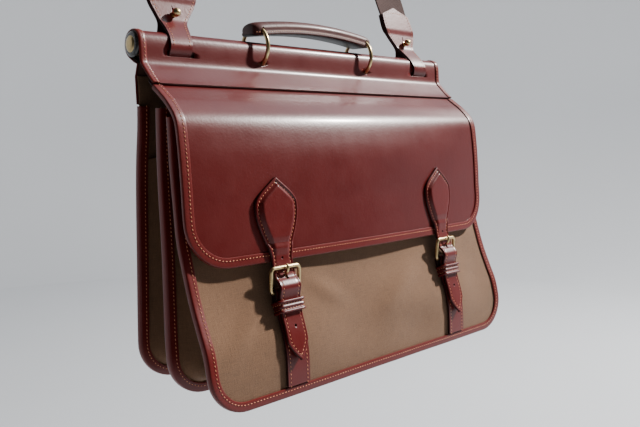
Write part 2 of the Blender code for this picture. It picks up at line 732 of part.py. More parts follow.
def lower_strap(side, word, parent):
    base = LOWER_STRAP_OUT
    path = [(LOW_BAR_DROP + 0.0115, base), (LOW_BAR_DROP + 0.0010, base)]
    centre_out = LOW_BAR_OUT
    for angle in range(170, -31, -25):
        turn = math.radians(angle)
        path.append((LOW_BAR_DROP - LOOP_RADIUS * math.sin(turn), centre_out + LOOP_RADIUS * math.cos(turn)))
    foot = BODY_DROP - PANEL_EDGE_INSET - BINDING_FACE - 4 * CLEARANCE
    double = base + LAYER
    path += [(LOW_BAR_DROP + 0.0075, double + 0.0012), (LOW_BAR_DROP + 0.0125, double + 0.0002),
             *((drop, base) for drop in np.linspace(KEEPER_DROP + KEEPER_HEIGHT * 0.75, foot, 5))]
    rows = []
    for drop, out in path:
        place, across, down, outward = front_frame(side, drop, out)
        rows.append([place + across * CLOSURE_WIDTH / 2 * c for c in (-1, 0, 1)])
    thing = wall(f"lower_strap_{word}", rows, STRAP_LEATHER, LEATHER, parent)
    place, across, down, outward = front_frame(side, LOW_BAR_DROP)
    beside, along = PRONG_WIRE + 2 * CLEARANCE, 2 * STRAP_LEATHER
    slot = slab(f"prong_slot_{word}", place, (across, down, outward),
                ((-beside, beside), (-along, along), (-along, 3 * along)), parent)
    cut(thing, [slot])


def buckle_frame(side):
    """Middle of the buckle and its across, down and facing directions."""
    top, across, down, outward = front_frame(side, BUCKLE_TOP_DROP, top_bar_out(side))
    low = front_frame(side, LOW_BAR_DROP, LOW_BAR_OUT)[0]
    along = unit(low - top)
    return (top + low) / 2, across, along, unit(np.cross(along, across)), np.linalg.norm(low - top) / 2


def buckle(side, word, parent):
    middle, across, along, facing, half_high = buckle_frame(side)
    half_wide = BUCKLE_WIDTH / 2 - BUCKLE_WIRE
    bend = BUCKLE_CORNER
    stations = []
    for corner in range(4):
        sx, sy = ((1, -1), (1, 1), (-1, 1), (-1, -1))[corner]
        for step in (0, 45, 90):
            turn = math.radians(step - 90 + 90 * corner)
            direction = across * math.cos(turn) + along * math.sin(turn)
            place = middle + across * sx * (half_wide - bend) + along * sy * (half_high - bend) + direction * bend
            stations.append((place, direction, facing))
    sweep(f"buckle_{word}", stations, circle(BUCKLE_WIRE, 8, math.pi / 8), ANTIQUE_BRASS, parent, closed=True)


def prong(side, word, parent):
    reach = BUCKLE_WIRE + CLEARANCE + PRONG_WIRE
    path = []
    for angle in (20, -25, -70, -115, -160, -205):
        turn = math.radians(angle)
        path.append((LOW_BAR_DROP - reach * math.sin(turn), LOW_BAR_OUT + reach * math.cos(turn)))
    tip_out = top_bar_out(side) + reach
    path += [(BUCKLE_TOP_DROP + 0.40 * BUCKLE_SPAN, 0.55 * tip_out + 0.0004),
             (BUCKLE_TOP_DROP + 0.20 * BUCKLE_SPAN, 0.93 * tip_out),
             (BUCKLE_TOP_DROP + 0.02 * BUCKLE_SPAN, tip_out + CLEARANCE),
             (BUCKLE_TOP_DROP - 0.10 * BUCKLE_SPAN, tip_out)]
    places = [front_frame(side, drop, out) for drop, out in path]
    stations = []
    for k, (place, across, down, outward) in enumerate(places):
        along = unit(places[min(k + 1, len(places) - 1)][0] - places[max(k - 1, 0)][0])
        stations.append((place, across, unit(np.cross(along, across))))
    sweep(f"buckle_prong_{word}", stations, circle(PRONG_WIRE, 6), ANTIQUE_BRASS, parent)


def keeper(side, word, parent):
    heights = dict(closure_path(side))
    inner = CLOSURE_WIDTH / 2 + 2 * CLEARANCE
    outer = KEEPER_WIDTH / 2
    foot = CANVAS / 2 + CLEARANCE
    stations, sections = [], []
    for drop in (KEEPER_DROP - KEEPER_HEIGHT / 2, KEEPER_DROP + KEEPER_HEIGHT / 2):
        place, across, down, outward = front_frame(side, drop)
        roof = heights[drop] + STRAP_LEATHER / 2 + 2 * CLEARANCE
        top = roof + KEEPER_LEATHER
        stations.append((place, across, outward))
        bevel = 0.75 * KEEPER_LEATHER
        sections.append([(-outer, foot), (-outer, top - bevel), (-outer + bevel, top), (outer - bevel, top),
                         (outer, top - bevel), (outer, foot), (inner, foot), (inner, roof), (-inner, roof),
                         (-inner, foot)])
    sweep(f"keeper_{word}", stations, sections, LEATHER, parent)


# Handle

def make_handle(parent):
    pivot = add_empty("handle_pivot", (0, 0, RING_RISE), parent)
    half = HANDLE_LENGTH / 2
    stations, sections = [], []
    for share in (-1.0, -0.975, -0.90, -0.78, -0.52, -0.26, 0, 0.26, 0.52, 0.78, 0.90, 0.975, 1.0):
        x = half * share
        to_end = half - abs(x)
        round_end = HANDLE_WIDTH * 0.36
        narrow = 1.0 if to_end > round_end else 0.58 + 0.42 * math.sqrt(1 - (1 - to_end / round_end) ** 2)
        thin = 1.0 if to_end > round_end else 0.72 + 0.28 * math.sqrt(1 - (1 - to_end / round_end) ** 2)
        middle = HANDLE_SEAT + HANDLE_ARCH * (1 - share * share)
        wide, thick = HANDLE_WIDTH / 2 * narrow, HANDLE_THICKNESS / 2 * thin
        stations.append((np.array([x, 0, middle]), np.array([0, 1.0, 0]), np.array([0, 0, 1.0])))
        sections.append([(-wide, -0.55 * thick), (-0.80 * wide, -thick), (0.80 * wide, -thick), (wide, -0.55 * thick),
                         (wide, 0.50 * thick), (0.78 * wide, 0.86 * thick), (0.35 * wide, thick),
                         (-0.35 * wide, thick), (-0.78 * wide, 0.86 * thick), (-wide, 0.50 * thick)])
    thing = sweep("handle", stations, sections, LEATHER, pivot)
    cutters = []
    for side, word in ((-1, "left"), (1, "right")):
        x = side * RING_SPACING / 2
        sweep(f"handle_ring_{word}", ring_stations((x, 0, 0), RING_RADIUS, 24), circle(RING_WIRE, 8, math.pi / 8),
              ANTIQUE_BRASS, pivot, closed=True)
        cutters.append(sweep(f"handle_hole_{word}", ring_stations((x, 0, 0), RING_RADIUS, 24),
                             circle(RING_WIRE + 1.5 * CLEARANCE, 8, math.pi / 8), LEATHER, pivot, closed=True))
    cut(thing, cutters)


# Shoulder strap

LEAN_ANGLE = math.atan(STRAP_LEAN)


def leg_point(side, height, back=0.0, wide=0.0):
    """A place on a strap leg: height along it, back from its middle plane and sideways."""
    z = height * math.cos(LEAN_ANGLE) - back * math.sin(LEAN_ANGLE)
    y = height * math.sin(LEAN_ANGLE) + back * math.cos(LEAN_ANGLE)
    return np.array([side * strap_x(height * math.cos(LEAN_ANGLE)) + wide, y, z])


LEAF_FAR = WEBBING_THICKNESS / 2 + CLEARANCE + STRAP_END_LEATHER / 2
LEAF_NEAR = CLEARANCE / 2 + STRAP_END_LEATHER / 2
LEAF_JOIN = 0.32 * STRAP_END_LENGTH
TANGENT = math.acos(TAB_MIDDLE / math.hypot(LEAF_NEAR, LEAF_JOIN)) + math.atan2(LEAF_NEAR, LEAF_JOIN)


def leaf_back(height):
    share = height / STRAP_END_LENGTH
    touch = TAB_MIDDLE * math.cos(TANGENT)
    if height < LEAF_JOIN:
        return np.interp(height, (touch, LEAF_JOIN), (TAB_MIDDLE * math.sin(TANGENT), LEAF_NEAR))
    return np.interp(share, (0.55, 0.645), (LEAF_NEAR, LEAF_FAR))


def strap_end(side, word, parent):
    leaf = [(share * STRAP_END_LENGTH, half * STRAP_END_WIDTH) for share, half in STRAP_END_OUTLINE]
    path = [(height, leaf_back(height), half) for height, half in reversed(leaf)]
    turns = np.linspace(TANGENT, 2 * math.pi - TANGENT, 13)
    path += [(TAB_MIDDLE * math.cos(t), TAB_MIDDLE * math.sin(t), TAB_WIDTH / 2) for t in turns]
    path += [(height, -leaf_back(height), half) for height, half in leaf]
    rows = [[leg_point(side, height, back, half * c) for c in (-1, 0, 1)] for height, back, half in path]
    thing = wall(f"strap_end_{word}", rows, STRAP_END_LEATHER, LEATHER, parent)
    facing = np.array([0, -math.cos(LEAN_ANGLE), math.sin(LEAN_ANGLE)])
    plate, shank, neck = STUD_RADIUS * 0.25, STUD_RADIUS * 0.40, STUD_RADIUS * 0.48
    rear = leg_point(side, STUD_HEIGHT, LEAF_NEAR + STRAP_END_LEATHER / 2 + CLEARANCE + plate)
    through = plate + 2 * (LEAF_NEAR + STRAP_END_LEATHER / 2 + CLEARANCE)
    cutter = turned(f"stud_hole_{word}", [(0, shank + CLEARANCE), (1.8 * through, shank + CLEARANCE)], rear, facing,
                    LEATHER, parent, 8)
    cut(thing, [cutter])
    collar, rise = through + 0.8 * plate, through + 1.6 * plate
    ball = rise + STUD_RADIUS * 0.88
    profile = [(0, STUD_RADIUS), (plate, STUD_RADIUS), (plate, shank), (through, shank), (through, 0.68 * STUD_RADIUS),
               (collar, 0.68 * STUD_RADIUS), (collar + 0.2 * plate, neck), (rise, neck)]
    for angle in (150, 125, 95, 65, 35, 12):
        turn = math.radians(angle)
        profile.append((ball + STUD_RADIUS * math.cos(turn), STUD_RADIUS * math.sin(turn)))
    turned(f"stud_{word}", profile, rear, facing, ANTIQUE_BRASS, parent, 9)


def webbing(parent):
    rise = STRAP_RISE + WEBBING_THICKNESS / 2
    start = 0.67 * STRAP_END_LENGTH
    bend = (rise - STRAP_ARCH) / math.cos(LEAN_ANGLE)
    heights = [start, 0.85 * STRAP_END_LENGTH, 1.04 * STRAP_END_LENGTH,
               *np.linspace(1.45 * STRAP_END_LENGTH, bend, 11)]
    places = [leg_point(1, height) for height in heights]
    slope = unit((-STRAP_TAPER, STRAP_LEAN, 1))
    top = np.array([STRAP_TOP_FLAT / 2, STRAP_LEAN * STRAP_RISE, rise])
    reach = 0.56 * STRAP_ARCH
    a, b, c, d = places[-1], places[-1] + slope * reach, top + np.array([reach, 0, 0]), top
    for k in range(1, 8):
        t = k / 7
        places.append((1 - t)**3 * a + 3 * t * (1 - t)**2 * b + 3 * t * t * (1 - t) * c + t**3 * d)
    stations = []
    for k, place in enumerate(places):
        along = unit(places[k + 1] - places[k - 1]) if 0 < k < len(places) - 1 else slope
        if k == len(places) - 1:
            along = np.array([-1.0, 0, 0])
        low = 1.2 * STRAP_END_LENGTH
        turn = min(max((place[2] - low) / (0.80 * rise - low), 0), 1)
        twist = math.pi / 2 * turn * turn * (3 - 2 * turn)
        back = unit(np.array([0, 1.0, 0]) - along * along[1])
        inward = np.cross(along, back)
        wide = unit(back * math.sin(twist) - inward * math.cos(twist))
        if k < 3:
            wide = np.array([1.0, 0, 0])
        stations.append((place, wide, np.cross(along, wide)))
    mirror = np.array([-1, 1, 1])
    stations += [(place * mirror, -wide * mirror, facing * mirror) for place, wide, facing in reversed(stations)]
    half, thick = WEBBING_WIDTH / 2, WEBBING_THICKNESS / 2
    sections = []
    for k in range(len(stations)):
        sign = 1 if k < len(stations) / 2 else -1
        outline = [(-half, -thick), (half, -thick), (half, thick), (-half, thick)]
        sections.append([(sign * u, v) for u, v in outline])
    sweep("shoulder_webbing", stations, sections, WEBBING_CLOTH, parent)


def main():
    clear_scene()
    bag = add_empty("bag_on_bar", (0, -STRAP_LEAN * STRAP_RISE, -STRAP_RISE))
    make_bar(bag)
    make_sleeve(bag)
    make_flap(bag)
    make_body(bag)
    make_handle(bag)
    webbing(bag)
    for side, word in ((-1, "left"), (1, "right")):
        closure_strap(side, word, bag)
        lower_strap(side, word, bag)
        buckle(side, word, bag)
        prong(side, word, bag)
        keeper(side, word, bag)
        strap_end(side, word, bag)


if __name__ == "__main__":
    main()
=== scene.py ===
"""Satchel in red-brown leather and brown canvas: the finish of every piece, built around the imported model.

Metres, +Z up, +X to the right, the flap faces -Y. Shapes are worked out from the axis of the top bar and then
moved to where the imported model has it.
"""

import math

import bmesh
import bpy
import numpy as np
import mathutils
from bpy.props import FloatProperty, FloatVectorProperty, PointerProperty
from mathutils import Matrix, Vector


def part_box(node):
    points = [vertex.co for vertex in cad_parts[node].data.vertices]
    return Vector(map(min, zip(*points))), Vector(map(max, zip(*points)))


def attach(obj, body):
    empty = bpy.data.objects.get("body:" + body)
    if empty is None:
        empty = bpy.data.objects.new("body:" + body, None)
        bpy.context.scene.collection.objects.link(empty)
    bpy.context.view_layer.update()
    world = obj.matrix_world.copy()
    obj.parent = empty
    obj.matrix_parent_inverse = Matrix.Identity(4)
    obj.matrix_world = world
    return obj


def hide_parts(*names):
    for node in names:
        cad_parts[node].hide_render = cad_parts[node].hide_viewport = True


bl_info = {
    "name": "Satchel",
    "version": (1, 0, 0),
    "blender": (4, 5, 0),
    "location": "3D View > Sidebar > Satchel",
    "description": "Builds a leather and canvas satchel around its packed model",
    "category": "Add Mesh",
}

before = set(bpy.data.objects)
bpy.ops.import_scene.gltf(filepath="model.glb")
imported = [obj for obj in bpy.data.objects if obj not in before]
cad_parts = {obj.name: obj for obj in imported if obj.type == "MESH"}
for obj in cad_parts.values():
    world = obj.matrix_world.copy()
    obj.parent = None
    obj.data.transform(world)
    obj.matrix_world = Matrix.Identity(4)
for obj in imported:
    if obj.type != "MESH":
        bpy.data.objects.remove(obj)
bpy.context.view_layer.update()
DENSE = 2


def middle_of(node):
    low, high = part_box(node)
    return (np.array(low) + np.array(high)) / 2


BAR_AXIS = middle_of("top_bar")

SIDES = ((-1, "left"), (1, "right"))

# Whole bag
BODY_WIDTH = 0.418
BODY_DROP = 0.3030
BODY_DEPTH = 0.116
HALF_WIDTH = BODY_WIDTH / 2
PANEL_CORNER = 0.036
BACK_RISE = 0.005
MIDDLE_RISE = 0.0015

# Walls and clearances
CLEARANCE = 0.0003
SEAM_SLACK = 0.0006
CANVAS = 0.0016
GUSSET_CANVAS = 0.0012
FLAP_LEATHER = 0.0018
SLEEVE_LEATHER = 0.0020
STRAP_LEATHER = 0.0024
STRAP_END_LEATHER = 0.0022
BINDING_LEATHER = 0.0013
BINDING_FACE = 0.0071
FLAP_TRIM_LEATHER = 0.0010
FLAP_TRIM_FACE = 0.0078

# Bar and sleeve
BAR_RADIUS = 0.0098
SLEEVE_RADIUS = 0.0122
SLEEVE_LENGTH = 0.4140
CAP_RADIUS = 0.0112
CAP_RISE = 0.0044

# Flap
FLAP_DROP = 0.1865
YOKE_DROP = 0.0335
FLAP_TUCK = 0.0070
FLAP_CORNER = 0.040
FLAP_CROWN = 0.009
FRONT_CROWN = 0.008
CROWN_GROWTH = 2.2

# Handle and rings
RING_RADIUS = 0.0195
RING_WIRE = 0.0020
RING_RISE = 0.0071
RING_SPACING = 0.148
HANDLE_LENGTH = 0.166
HANDLE_WIDTH = 0.027
HANDLE_THICKNESS = 0.0140
HANDLE_ARCH = 0.0070
HANDLE_SEAT = 0.0162

# Shoulder strap
WEBBING_WIDTH = 0.046
WEBBING_THICKNESS = 0.0018
STRAP_RISE = 0.500
STRAP_LEAN = 0.30
STRAP_TAPER = 0.165
STRAP_SPACING = 0.3344
STRAP_TOP_FLAT = 0.050
STRAP_ARCH = 0.080
TAB_WIDTH = 0.022
STUD_RADIUS = 0.0040
STUD_HEIGHT = 0.0305
STRAP_END_LENGTH = 0.075
STRAP_END_WIDTH = 0.050

# Closure straps
CLOSURE_SPACING = 0.235
CLOSURE_WIDTH = 0.0232
LOWER_WIDTH = 0.0255
PADDLE_WIDTH = 0.0465
PADDLE_TIP_DROP = 0.1145
PADDLE_LENGTH = 0.070
PADDLE_PAD = 0.0014
CLOSURE_END_DROP = 0.2710
BUCKLE_WIDTH = 0.0350
BUCKLE_HEIGHT = 0.0240
BUCKLE_WIRE = 0.0017
BUCKLE_TOP_DROP = 0.1968
PRONG_WIRE = 0.0012
KEEPER_DROP = 0.2292
KEEPER_HEIGHT = 0.0110
KEEPER_LEATHER = 0.0020

# Looks of edges and seams
SHARP_FROM = 50
RIM_ROUNDNESS = 0.55
SEAM_LIFT = 0.0001
YOKE_SEAM_SHARE = 0.75
YOKE_SEAM_INSET = 0.006
LEAF_SEAM_INSET = 0.0028
STRAP_SEAM_INSET = 0.0030
END_STRIP_SEAM = (-0.0032, 0.00095)
KEEPER_SEAM_SHARE = 0.42
KEEPER_SEAM_OUT = 0.0014
EDGE_ROUND = 0.0008
EDGE_FALL = 0.0007

# Holes, slits and the slackness of the gussets
FLAP_HOLE_RADIUS = 0.0011
FLAP_HOLE_INSET = 0.0016
TAIL_HOLE_RADIUS = 0.0012
TAIL_HOLE_GAP = 0.016
SLIT_HALF = 0.0004
SLIT_SPAN = (0.001, 0.0085)
GUSSET_SWAY = 0.0012
GUSSET_CORNER_SLACK = 0.003

# out: share of BODY_DEPTH forward of the bar axis; down: share of the drop of its piece
FLAP_PROFILE = (
    (0.113, 0.088), (0.233, 0.161), (0.405, 0.236), (0.505, 0.304), (0.557, 0.359),
    (0.584, 0.456), (0.602, 0.552), (0.618, 0.660), (0.631, 0.764), (0.675, 1.000),
)
FRONT_PROFILE = (
    (0.478, 0.195), (0.490, 0.240), (0.505, 0.332), (0.536, 0.440), (0.568, 0.535), (0.625, 0.607),
    (0.712, 0.701), (0.803, 0.777), (0.868, 0.830), (0.910, 0.894), (0.928, 0.960), (0.934, 1.000),
)
MIDDLE_PROFILE = (
    (0.330, 0.170), (0.324, 0.240), (0.328, 0.375), (0.357, 0.568), (0.366, 0.706),
    (0.372, 0.822), (0.388, 0.900), (0.392, 1.000),
)
BACK_PROFILE = (
    (0.052, 0.085), (0.062, 0.120), (0.066, 0.170), (0.058, 0.240), (0.030, 0.330),
    (0.012, 0.440), (-0.004, 0.645), (-0.022, 0.857), (-0.020, 1.000),
)
# Soft hollows in the front canvas; side: share of half the width, down: share of BODY_DROP,
# wide and high: shares of BODY_WIDTH and BODY_DROP, deep: share of BODY_DEPTH
FRONT_DENTS = (
    (-0.86, 0.74, 0.10, 0.16, 0.036),
    (-0.12, 0.84, 0.13, 0.10, 0.046),
    (-0.02, 0.68, 0.20, 0.05, 0.020),
    (0.30, 0.90, 0.09, 0.06, 0.028),
    (0.86, 0.80, 0.08, 0.10, 0.032),
)
# Diagonal folds of the front canvas; from one side and drop to another, then width and height in metres
FRONT_FOLDS = (
    (-0.93, 0.268, -0.64, 0.212, 0.0070, 0.0030),
    (-0.46, 0.205, -0.20, 0.236, 0.0080, 0.0026),
    (0.02, 0.252, 0.34, 0.214, 0.0100, 0.0026),
    (0.62, 0.250, 0.84, 0.226, 0.0070, 0.0020),
)
SIDE_FOLD = 0.024
FOOT_FOLD = 0.009
# along: share of STRAP_END_LENGTH above the bar axis, half: share of STRAP_END_WIDTH
STRAP_END_OUTLINE = (
    (0.22, 0.235), (0.32, 0.280), (0.43, 0.370), (0.54, 0.460),
    (0.65, 0.500), (0.76, 0.492), (0.88, 0.465), (1.00, 0.016),
)
# along: share of PADDLE_LENGTH, half: share of PADDLE_WIDTH
PADDLE_OUTLINE = (
    (0.00, 0.020), (0.09, 0.190), (0.19, 0.375), (0.28, 0.478), (0.36, 0.500), (0.46, 0.496),
    (0.57, 0.462), (0.69, 0.400), (0.81, 0.326), (0.91, 0.274), (1.00, 0.247),
)

# along: share of CAP_RISE, reach: share of CAP_RADIUS
CAP_PROFILE = (
    (0, 0.96), (0.10, 1.00), (0.26, 1.00), (0.40, 0.95), (0.55, 0.86), (0.66, 0.72),
    (0.64, 0.63), (0.70, 0.60), (0.83, 0.54), (0.93, 0.396), (0.98, 0.216), (1.00, 0.048),
)
# Section of the thin strip over the wrap's end: along the bar, facing, and how worn it is
END_STRIP_SECTION = (
    (-0.0052, 0.0001, 0), (-0.0054, 0.0005, 0.5), (-0.0050, 0.0009, 0.5), (-0.0030, 0.00095, 0),
    (-0.0008, 0.0011, 0.3), (0.0006, 0.0009, 0.9), (0.0014, 0.0002, 1), (0.0015, -0.0005, 0.7),
    (0.0009, -0.0008, 0.2), (0.0001, -0.0007, 0), (0.0001, 0.0001, 0),
)
# One corner of the webbing's section in shares of its half width and half thickness
WEBBING_CORNER = ((1, 0.4), (0.985, 1), (0.90, 1), (0.86, 0.86))
STRAP_END_COLUMNS = (0.03, 0.09, 0.2, 0.36, 0.55, 0.75, 0.9, 1)
# Rolled half of the keeper's section: share of half its height, and how far out in metres
KEEPER_ROLLS = (
    (1.0, 0.0), (1.02, 0.0014), (0.98, 0.0024), (0.86, 0.0030), (0.72, 0.0030),
    (0.60, 0.0024), (0.52, 0.0015), (0.40, 0.0013), (0.22, 0.0015), (0.10, 0.0021),
)

# The photo's view of the bag: where the camera stands from the bar axis, and its lens
CAMERA_PLACE = (-0.52964, -0.55739, -0.07143)
CAMERA_YAW = 44.311
CAMERA_PITCH = -6.706
CAMERA_LENS = 40.5
SENSOR_WIDTH = 36.0


def length_property(name, description, default, low, high, precision=4):
    return FloatProperty(name=name, description=description, default=default, min=low, max=high,
                         subtype="DISTANCE", precision=precision)


class SatchelSizes(bpy.types.PropertyGroup):
    stitch_pitch: length_property("Stitch pitch", "From one stitch to the next", 0.0034, 0.0015, 0.01)
    stitch_length: length_property("Stitch length", "Thread that shows in one stitch", 0.0020, 0.001, 0.009)
    stitch_width: length_property("Thread thickness", "Thickness of the thread", 0.0008, 0.0003, 0.002)
    canvas_thread: length_property("Canvas thread", "From one thread to the next", 0.0010, 0.0004, 0.003)
    webbing_rib: length_property("Webbing rib", "From one rib to the next", 0.0024, 0.001, 0.006)
    floor_drop: length_property("Floor", "Depth of the floor below the shoulder", 1.25, 0.85, 2.5, 2)


def colour_property(name, description, default):
    return FloatVectorProperty(name=name, description=description, subtype="COLOR", size=3, min=0, max=1,
                               default=default)


class SatchelColours(bpy.types.PropertyGroup):
    leather: colour_property("Leather", "Flap, yoke and straps", (0.074, 0.0028, 0.0026))
    leather_light: colour_property("Light leather", "Where the hide took less dye", (0.108, 0.0052, 0.0044))
    trim: colour_property("Edge leather", "Folded strips round the edges", (0.096, 0.0056, 0.0046))
    handle: colour_property("Handle leather", "Handle", (0.052, 0.0135, 0.0115))
    raw_edge: colour_property("Leather edge", "Cut and inked edges", (0.020, 0.004, 0.0035))
    lining_side: colour_property("Flesh side", "Unpolished back of the leather", (0.060, 0.024, 0.016))
    canvas: colour_property("Canvas", "Panels and gussets", (0.160, 0.082, 0.042))
    webbing: colour_property("Webbing", "Shoulder strap", (0.050, 0.016, 0.012))
    brass: colour_property("Brass", "Rings, buckles, studs and caps", (0.700, 0.530, 0.270))
    thread: colour_property("Thread", "Stitches", (0.720, 0.290, 0.150))
    backdrop: colour_property("Backdrop", "Floor and surroundings", (0.780, 0.810, 0.860))


def sizes():
    return bpy.context.scene.satchel_sizes


def colours():
    return bpy.context.scene.satchel_colours


# Curves and surfaces

def unit(vector):
    return np.asarray(vector, float) / np.linalg.norm(vector)


def clamp(value, low=0, high=1):
    return min(max(value, low), high)


def eased(share):
    """Goes from 0 to 1 with a soft start and a soft end."""
    share = clamp(share)
    return share * share * (3 - 2 * share)


def running_marks(points):
    """Distance along a row of points, from its first one."""
    gaps = np.linalg.norm(np.diff(points, axis=0), axis=1)
    return np.concatenate([[0], np.cumsum(gaps)])


def grid_normals(grid):
    normals = np.cross(np.gradient(grid, axis=0), np.gradient(grid, axis=1))
    return normals / np.linalg.norm(normals, axis=2, keepdims=True)


def soften(rows, low, high, rounds):
    """Evens out the rows between two places, in the given array."""
    for _ in range(rounds):
        rows[low:high] = (rows[low - 1:high - 1] + 2 * rows[low:high] + rows[low + 1:high + 1]) / 4


def column_at(columns, share):
    """The column before a place across a row, and how far beyond it the place is."""
    at = float(np.interp(share, columns, np.arange(len(columns))))
    low = min(int(at), len(columns) - 2)
    return low, at - low


def smooth_points(points, steps):
    """Points on the smooth curve through the given ones; the first axis runs along it."""
    points = np.asarray(points, float)
    padded = np.concatenate([[2 * points[0] - points[1]], points, [2 * points[-1] - points[-2]]])
    made = []
    for a, b, c, d in zip(padded, padded[1:], padded[2:], padded[3:]):
        for t in np.arange(steps) / steps:
            made.append(0.5 * (2 * b + (c - a) * t + (2 * a - 5 * b + 4 * c - d) * t * t
                               + (3 * b - a - 3 * c + d) * t**3))
    return np.array(made + [points[-1]])


class Run:
    """A smooth curve in the plane of depth and height, read by the distance along it."""

    def __init__(self, points, steps=8):
        self.points = smooth_points(points, steps)
        self.marks = running_marks(self.points)
        self.length = self.marks[-1]

    def at(self, distance):
        return np.array([np.interp(distance, self.marks, self.points[:, k]) for k in range(2)])

    def tangent(self, distance):
        near = self.length * 0.01
        return unit(self.at(min(distance + near, self.length)) - self.at(max(distance - near, 0)))

    def distance_at_drop(self, drop):
        return float(np.interp(drop, -self.points[:, 1], self.marks))


class Skin:
    """A wall's middle surface: a run of depth and height drawn across the bag's width, with a bulge."""

    def __init__(self, run, bulge):
        self.run = run
        self.bulge = bulge

    def point(self, x, distance, out=0.0):
        y, z = self.run.at(distance)
        ty, tz = self.run.tangent(distance)
        offset = out + self.bulge(x / HALF_WIDTH, -z)
        return np.array([x, y + tz * offset, z - ty * offset])

    def frame(self, x, distance, out=0.0):
        """Origin, across, down and outward directions on the surface."""
        near = 0.002
        across = unit(self.point(x + near, distance, out) - self.point(x - near, distance, out))
        down = unit(self.point(x, min(distance + near, self.run.length), out)
                    - self.point(x, max(distance - near, 0), out))
        outward = unit(np.cross(down, across))
        return self.point(x, distance, out), across, unit(np.cross(across, outward)), outward


def share_points(profile, drop, inset=0.0):
    return [(inset - out * BODY_DEPTH, -down * drop) for out, down in profile]


def dents(side, down):
    """Depth of the soft hollows of the front canvas."""
    total = 0.0
    for at_side, at_down, wide, high, deep in FRONT_DENTS:
        a = (side - at_side) * HALF_WIDTH / (wide * BODY_WIDTH)
        b = (down / BODY_DROP - at_down) / high
        total += deep * BODY_DEPTH * math.exp(-a * a - b * b)
    return total


def folds(side, down):
    """Rise of the front canvas along its diagonal folds."""
    total = 0.0
    here = np.array([side * HALF_WIDTH, down])
    for from_side, from_down, to_side, to_down, wide, high in FRONT_FOLDS:
        start = np.array([from_side * HALF_WIDTH, from_down])
        way = np.array([to_side * HALF_WIDTH, to_down]) - start
        share = clamp(float(np.dot(here - start, way) / np.dot(way, way)))
        off = np.linalg.norm(here - start - way * share)
        total += high * math.exp(-(off / wide) ** 2) * (0.25 + 0.75 * math.sin(math.pi * share))
    return total


def flap_bulge(side, down):
    """Crown of the flap, which is sunk under the yoke."""
    grown = (down - YOKE_DROP) / (FLAP_DROP - YOKE_DROP) * CROWN_GROWTH
    sunk = (SLEEVE_LEATHER + CLEARANCE) * clamp((YOKE_DROP * 1.75 - down) / (YOKE_DROP * 0.5))
    return FLAP_CROWN * (1 - side * side) * eased(grown) - sunk - FLAP_LEATHER / 2


def front_bulge(side, down):
    """Crown of the front canvas with its hollows and folds, which leave the lower straps' place even."""
    share = down / BODY_DROP
    grown = clamp((share - 0.22) * 4) * clamp((1.02 - share) * 2.4)
    from_strap = (abs(side) * HALF_WIDTH - CLOSURE_SPACING / 2) / (1.6 * CLOSURE_WIDTH)
    slack = (1 - side**4) * (1 - math.exp(-from_strap * from_strap))
    return FRONT_CROWN * (1 - side * side) * grown - (dents(side, down) - folds(side, down)) * slack


def middle_bulge(side, down):
    return 0.0


def back_bulge(side, down):
    share = min(max(down / BODY_DROP - 0.25, 0) / 0.75, 1)
    return -0.03 * BODY_DEPTH * (1 - side * side) * math.sin(math.pi * share)


PANEL_INSET = BINDING_LEATHER + CLEARANCE
FLAP_INSET = FLAP_TRIM_LEATHER + CLEARANCE
FRONT_FACE_INSET = CANVAS / 2 + CLEARANCE + BINDING_LEATHER
FLAP_SKIN = Skin(Run(share_points(FLAP_PROFILE, FLAP_DROP)), flap_bulge)
FRONT_SKIN = Skin(Run(share_points(FRONT_PROFILE, BODY_DROP - PANEL_INSET, FRONT_FACE_INSET)), front_bulge)
MIDDLE_SKIN = Skin(Run(share_points(MIDDLE_PROFILE, BODY_DROP - MIDDLE_RISE - PANEL_INSET)), middle_bulge)
BACK_SKIN = Skin(Run(share_points(BACK_PROFILE, BODY_DROP - BACK_RISE - PANEL_INSET)), back_bulge)
PANEL_HALF = HALF_WIDTH - PANEL_INSET
PANEL_BEND = PANEL_CORNER - PANEL_INSET
FRONT_TOP = 0.205 * BODY_DROP
MIDDLE_TOP = 0.180 * BODY_DROP
BACK_TOP = 0.090 * BODY_DROP


def corner_turns():
    step = 15 if DENSE == 1 else 7.5
    return np.arange(step, 90, step)


def cloth_rows(skin, half, corner, rows, columns, start=0.0, out=None):
    """Grid over a skin that ends in two round lower corners."""
    length = skin.run.length
    marks = [(d, half) for d in np.linspace(start, length - corner, rows)]
    marks += [(length - corner + corner * math.sin(t), half - corner + corner * math.cos(t))
              for t in np.radians((*corner_turns(), 90))]
    return [[skin.point(reach * u, distance, out(reach * u, distance) if out else 0.0)
             for u in np.linspace(-1, 1, columns)] for distance, reach in marks]


def edge_stations(skin, half, corner, rows, columns, start=0.0):
    """Stations down the left edge, round the foot and up the right edge: place, outward, facing."""
    length = skin.run.length
    marks = [(-half, d, (-1, 0)) for d in np.linspace(start, length - corner, rows)]
    for t in np.radians(corner_turns()):
        side, foot = -math.cos(t), math.sin(t)
        marks.append((-half + corner + corner * side, length - corner + corner * foot, (side, foot)))
    mirrored = [(-x, d, (-a, b)) for x, d, (a, b) in reversed(marks)]
    marks += [(x, length, (0, 1)) for x in np.linspace(-half + corner, half - corner, columns)]
    stations = []
    for x, distance, (side, foot) in marks + mirrored:
        place, across, down, facing = skin.frame(x, distance)
        stations.append((place, unit(across * side + down * foot), facing))
    return stations


# Meshes

def grid_faces(rows, columns, offset=0, wrap=False):
    faces = []
    for i in range(rows - 1):
        for j in range(columns if wrap else columns - 1):
            a = offset + i * columns + j
            b = offset + i * columns + (j + 1) % columns
            faces.append((a, b, b + columns, a + columns))
    return faces


def end_faces(rows, columns):
    return [tuple(range(columns)), tuple(range((rows - 1) * columns, rows * columns))]


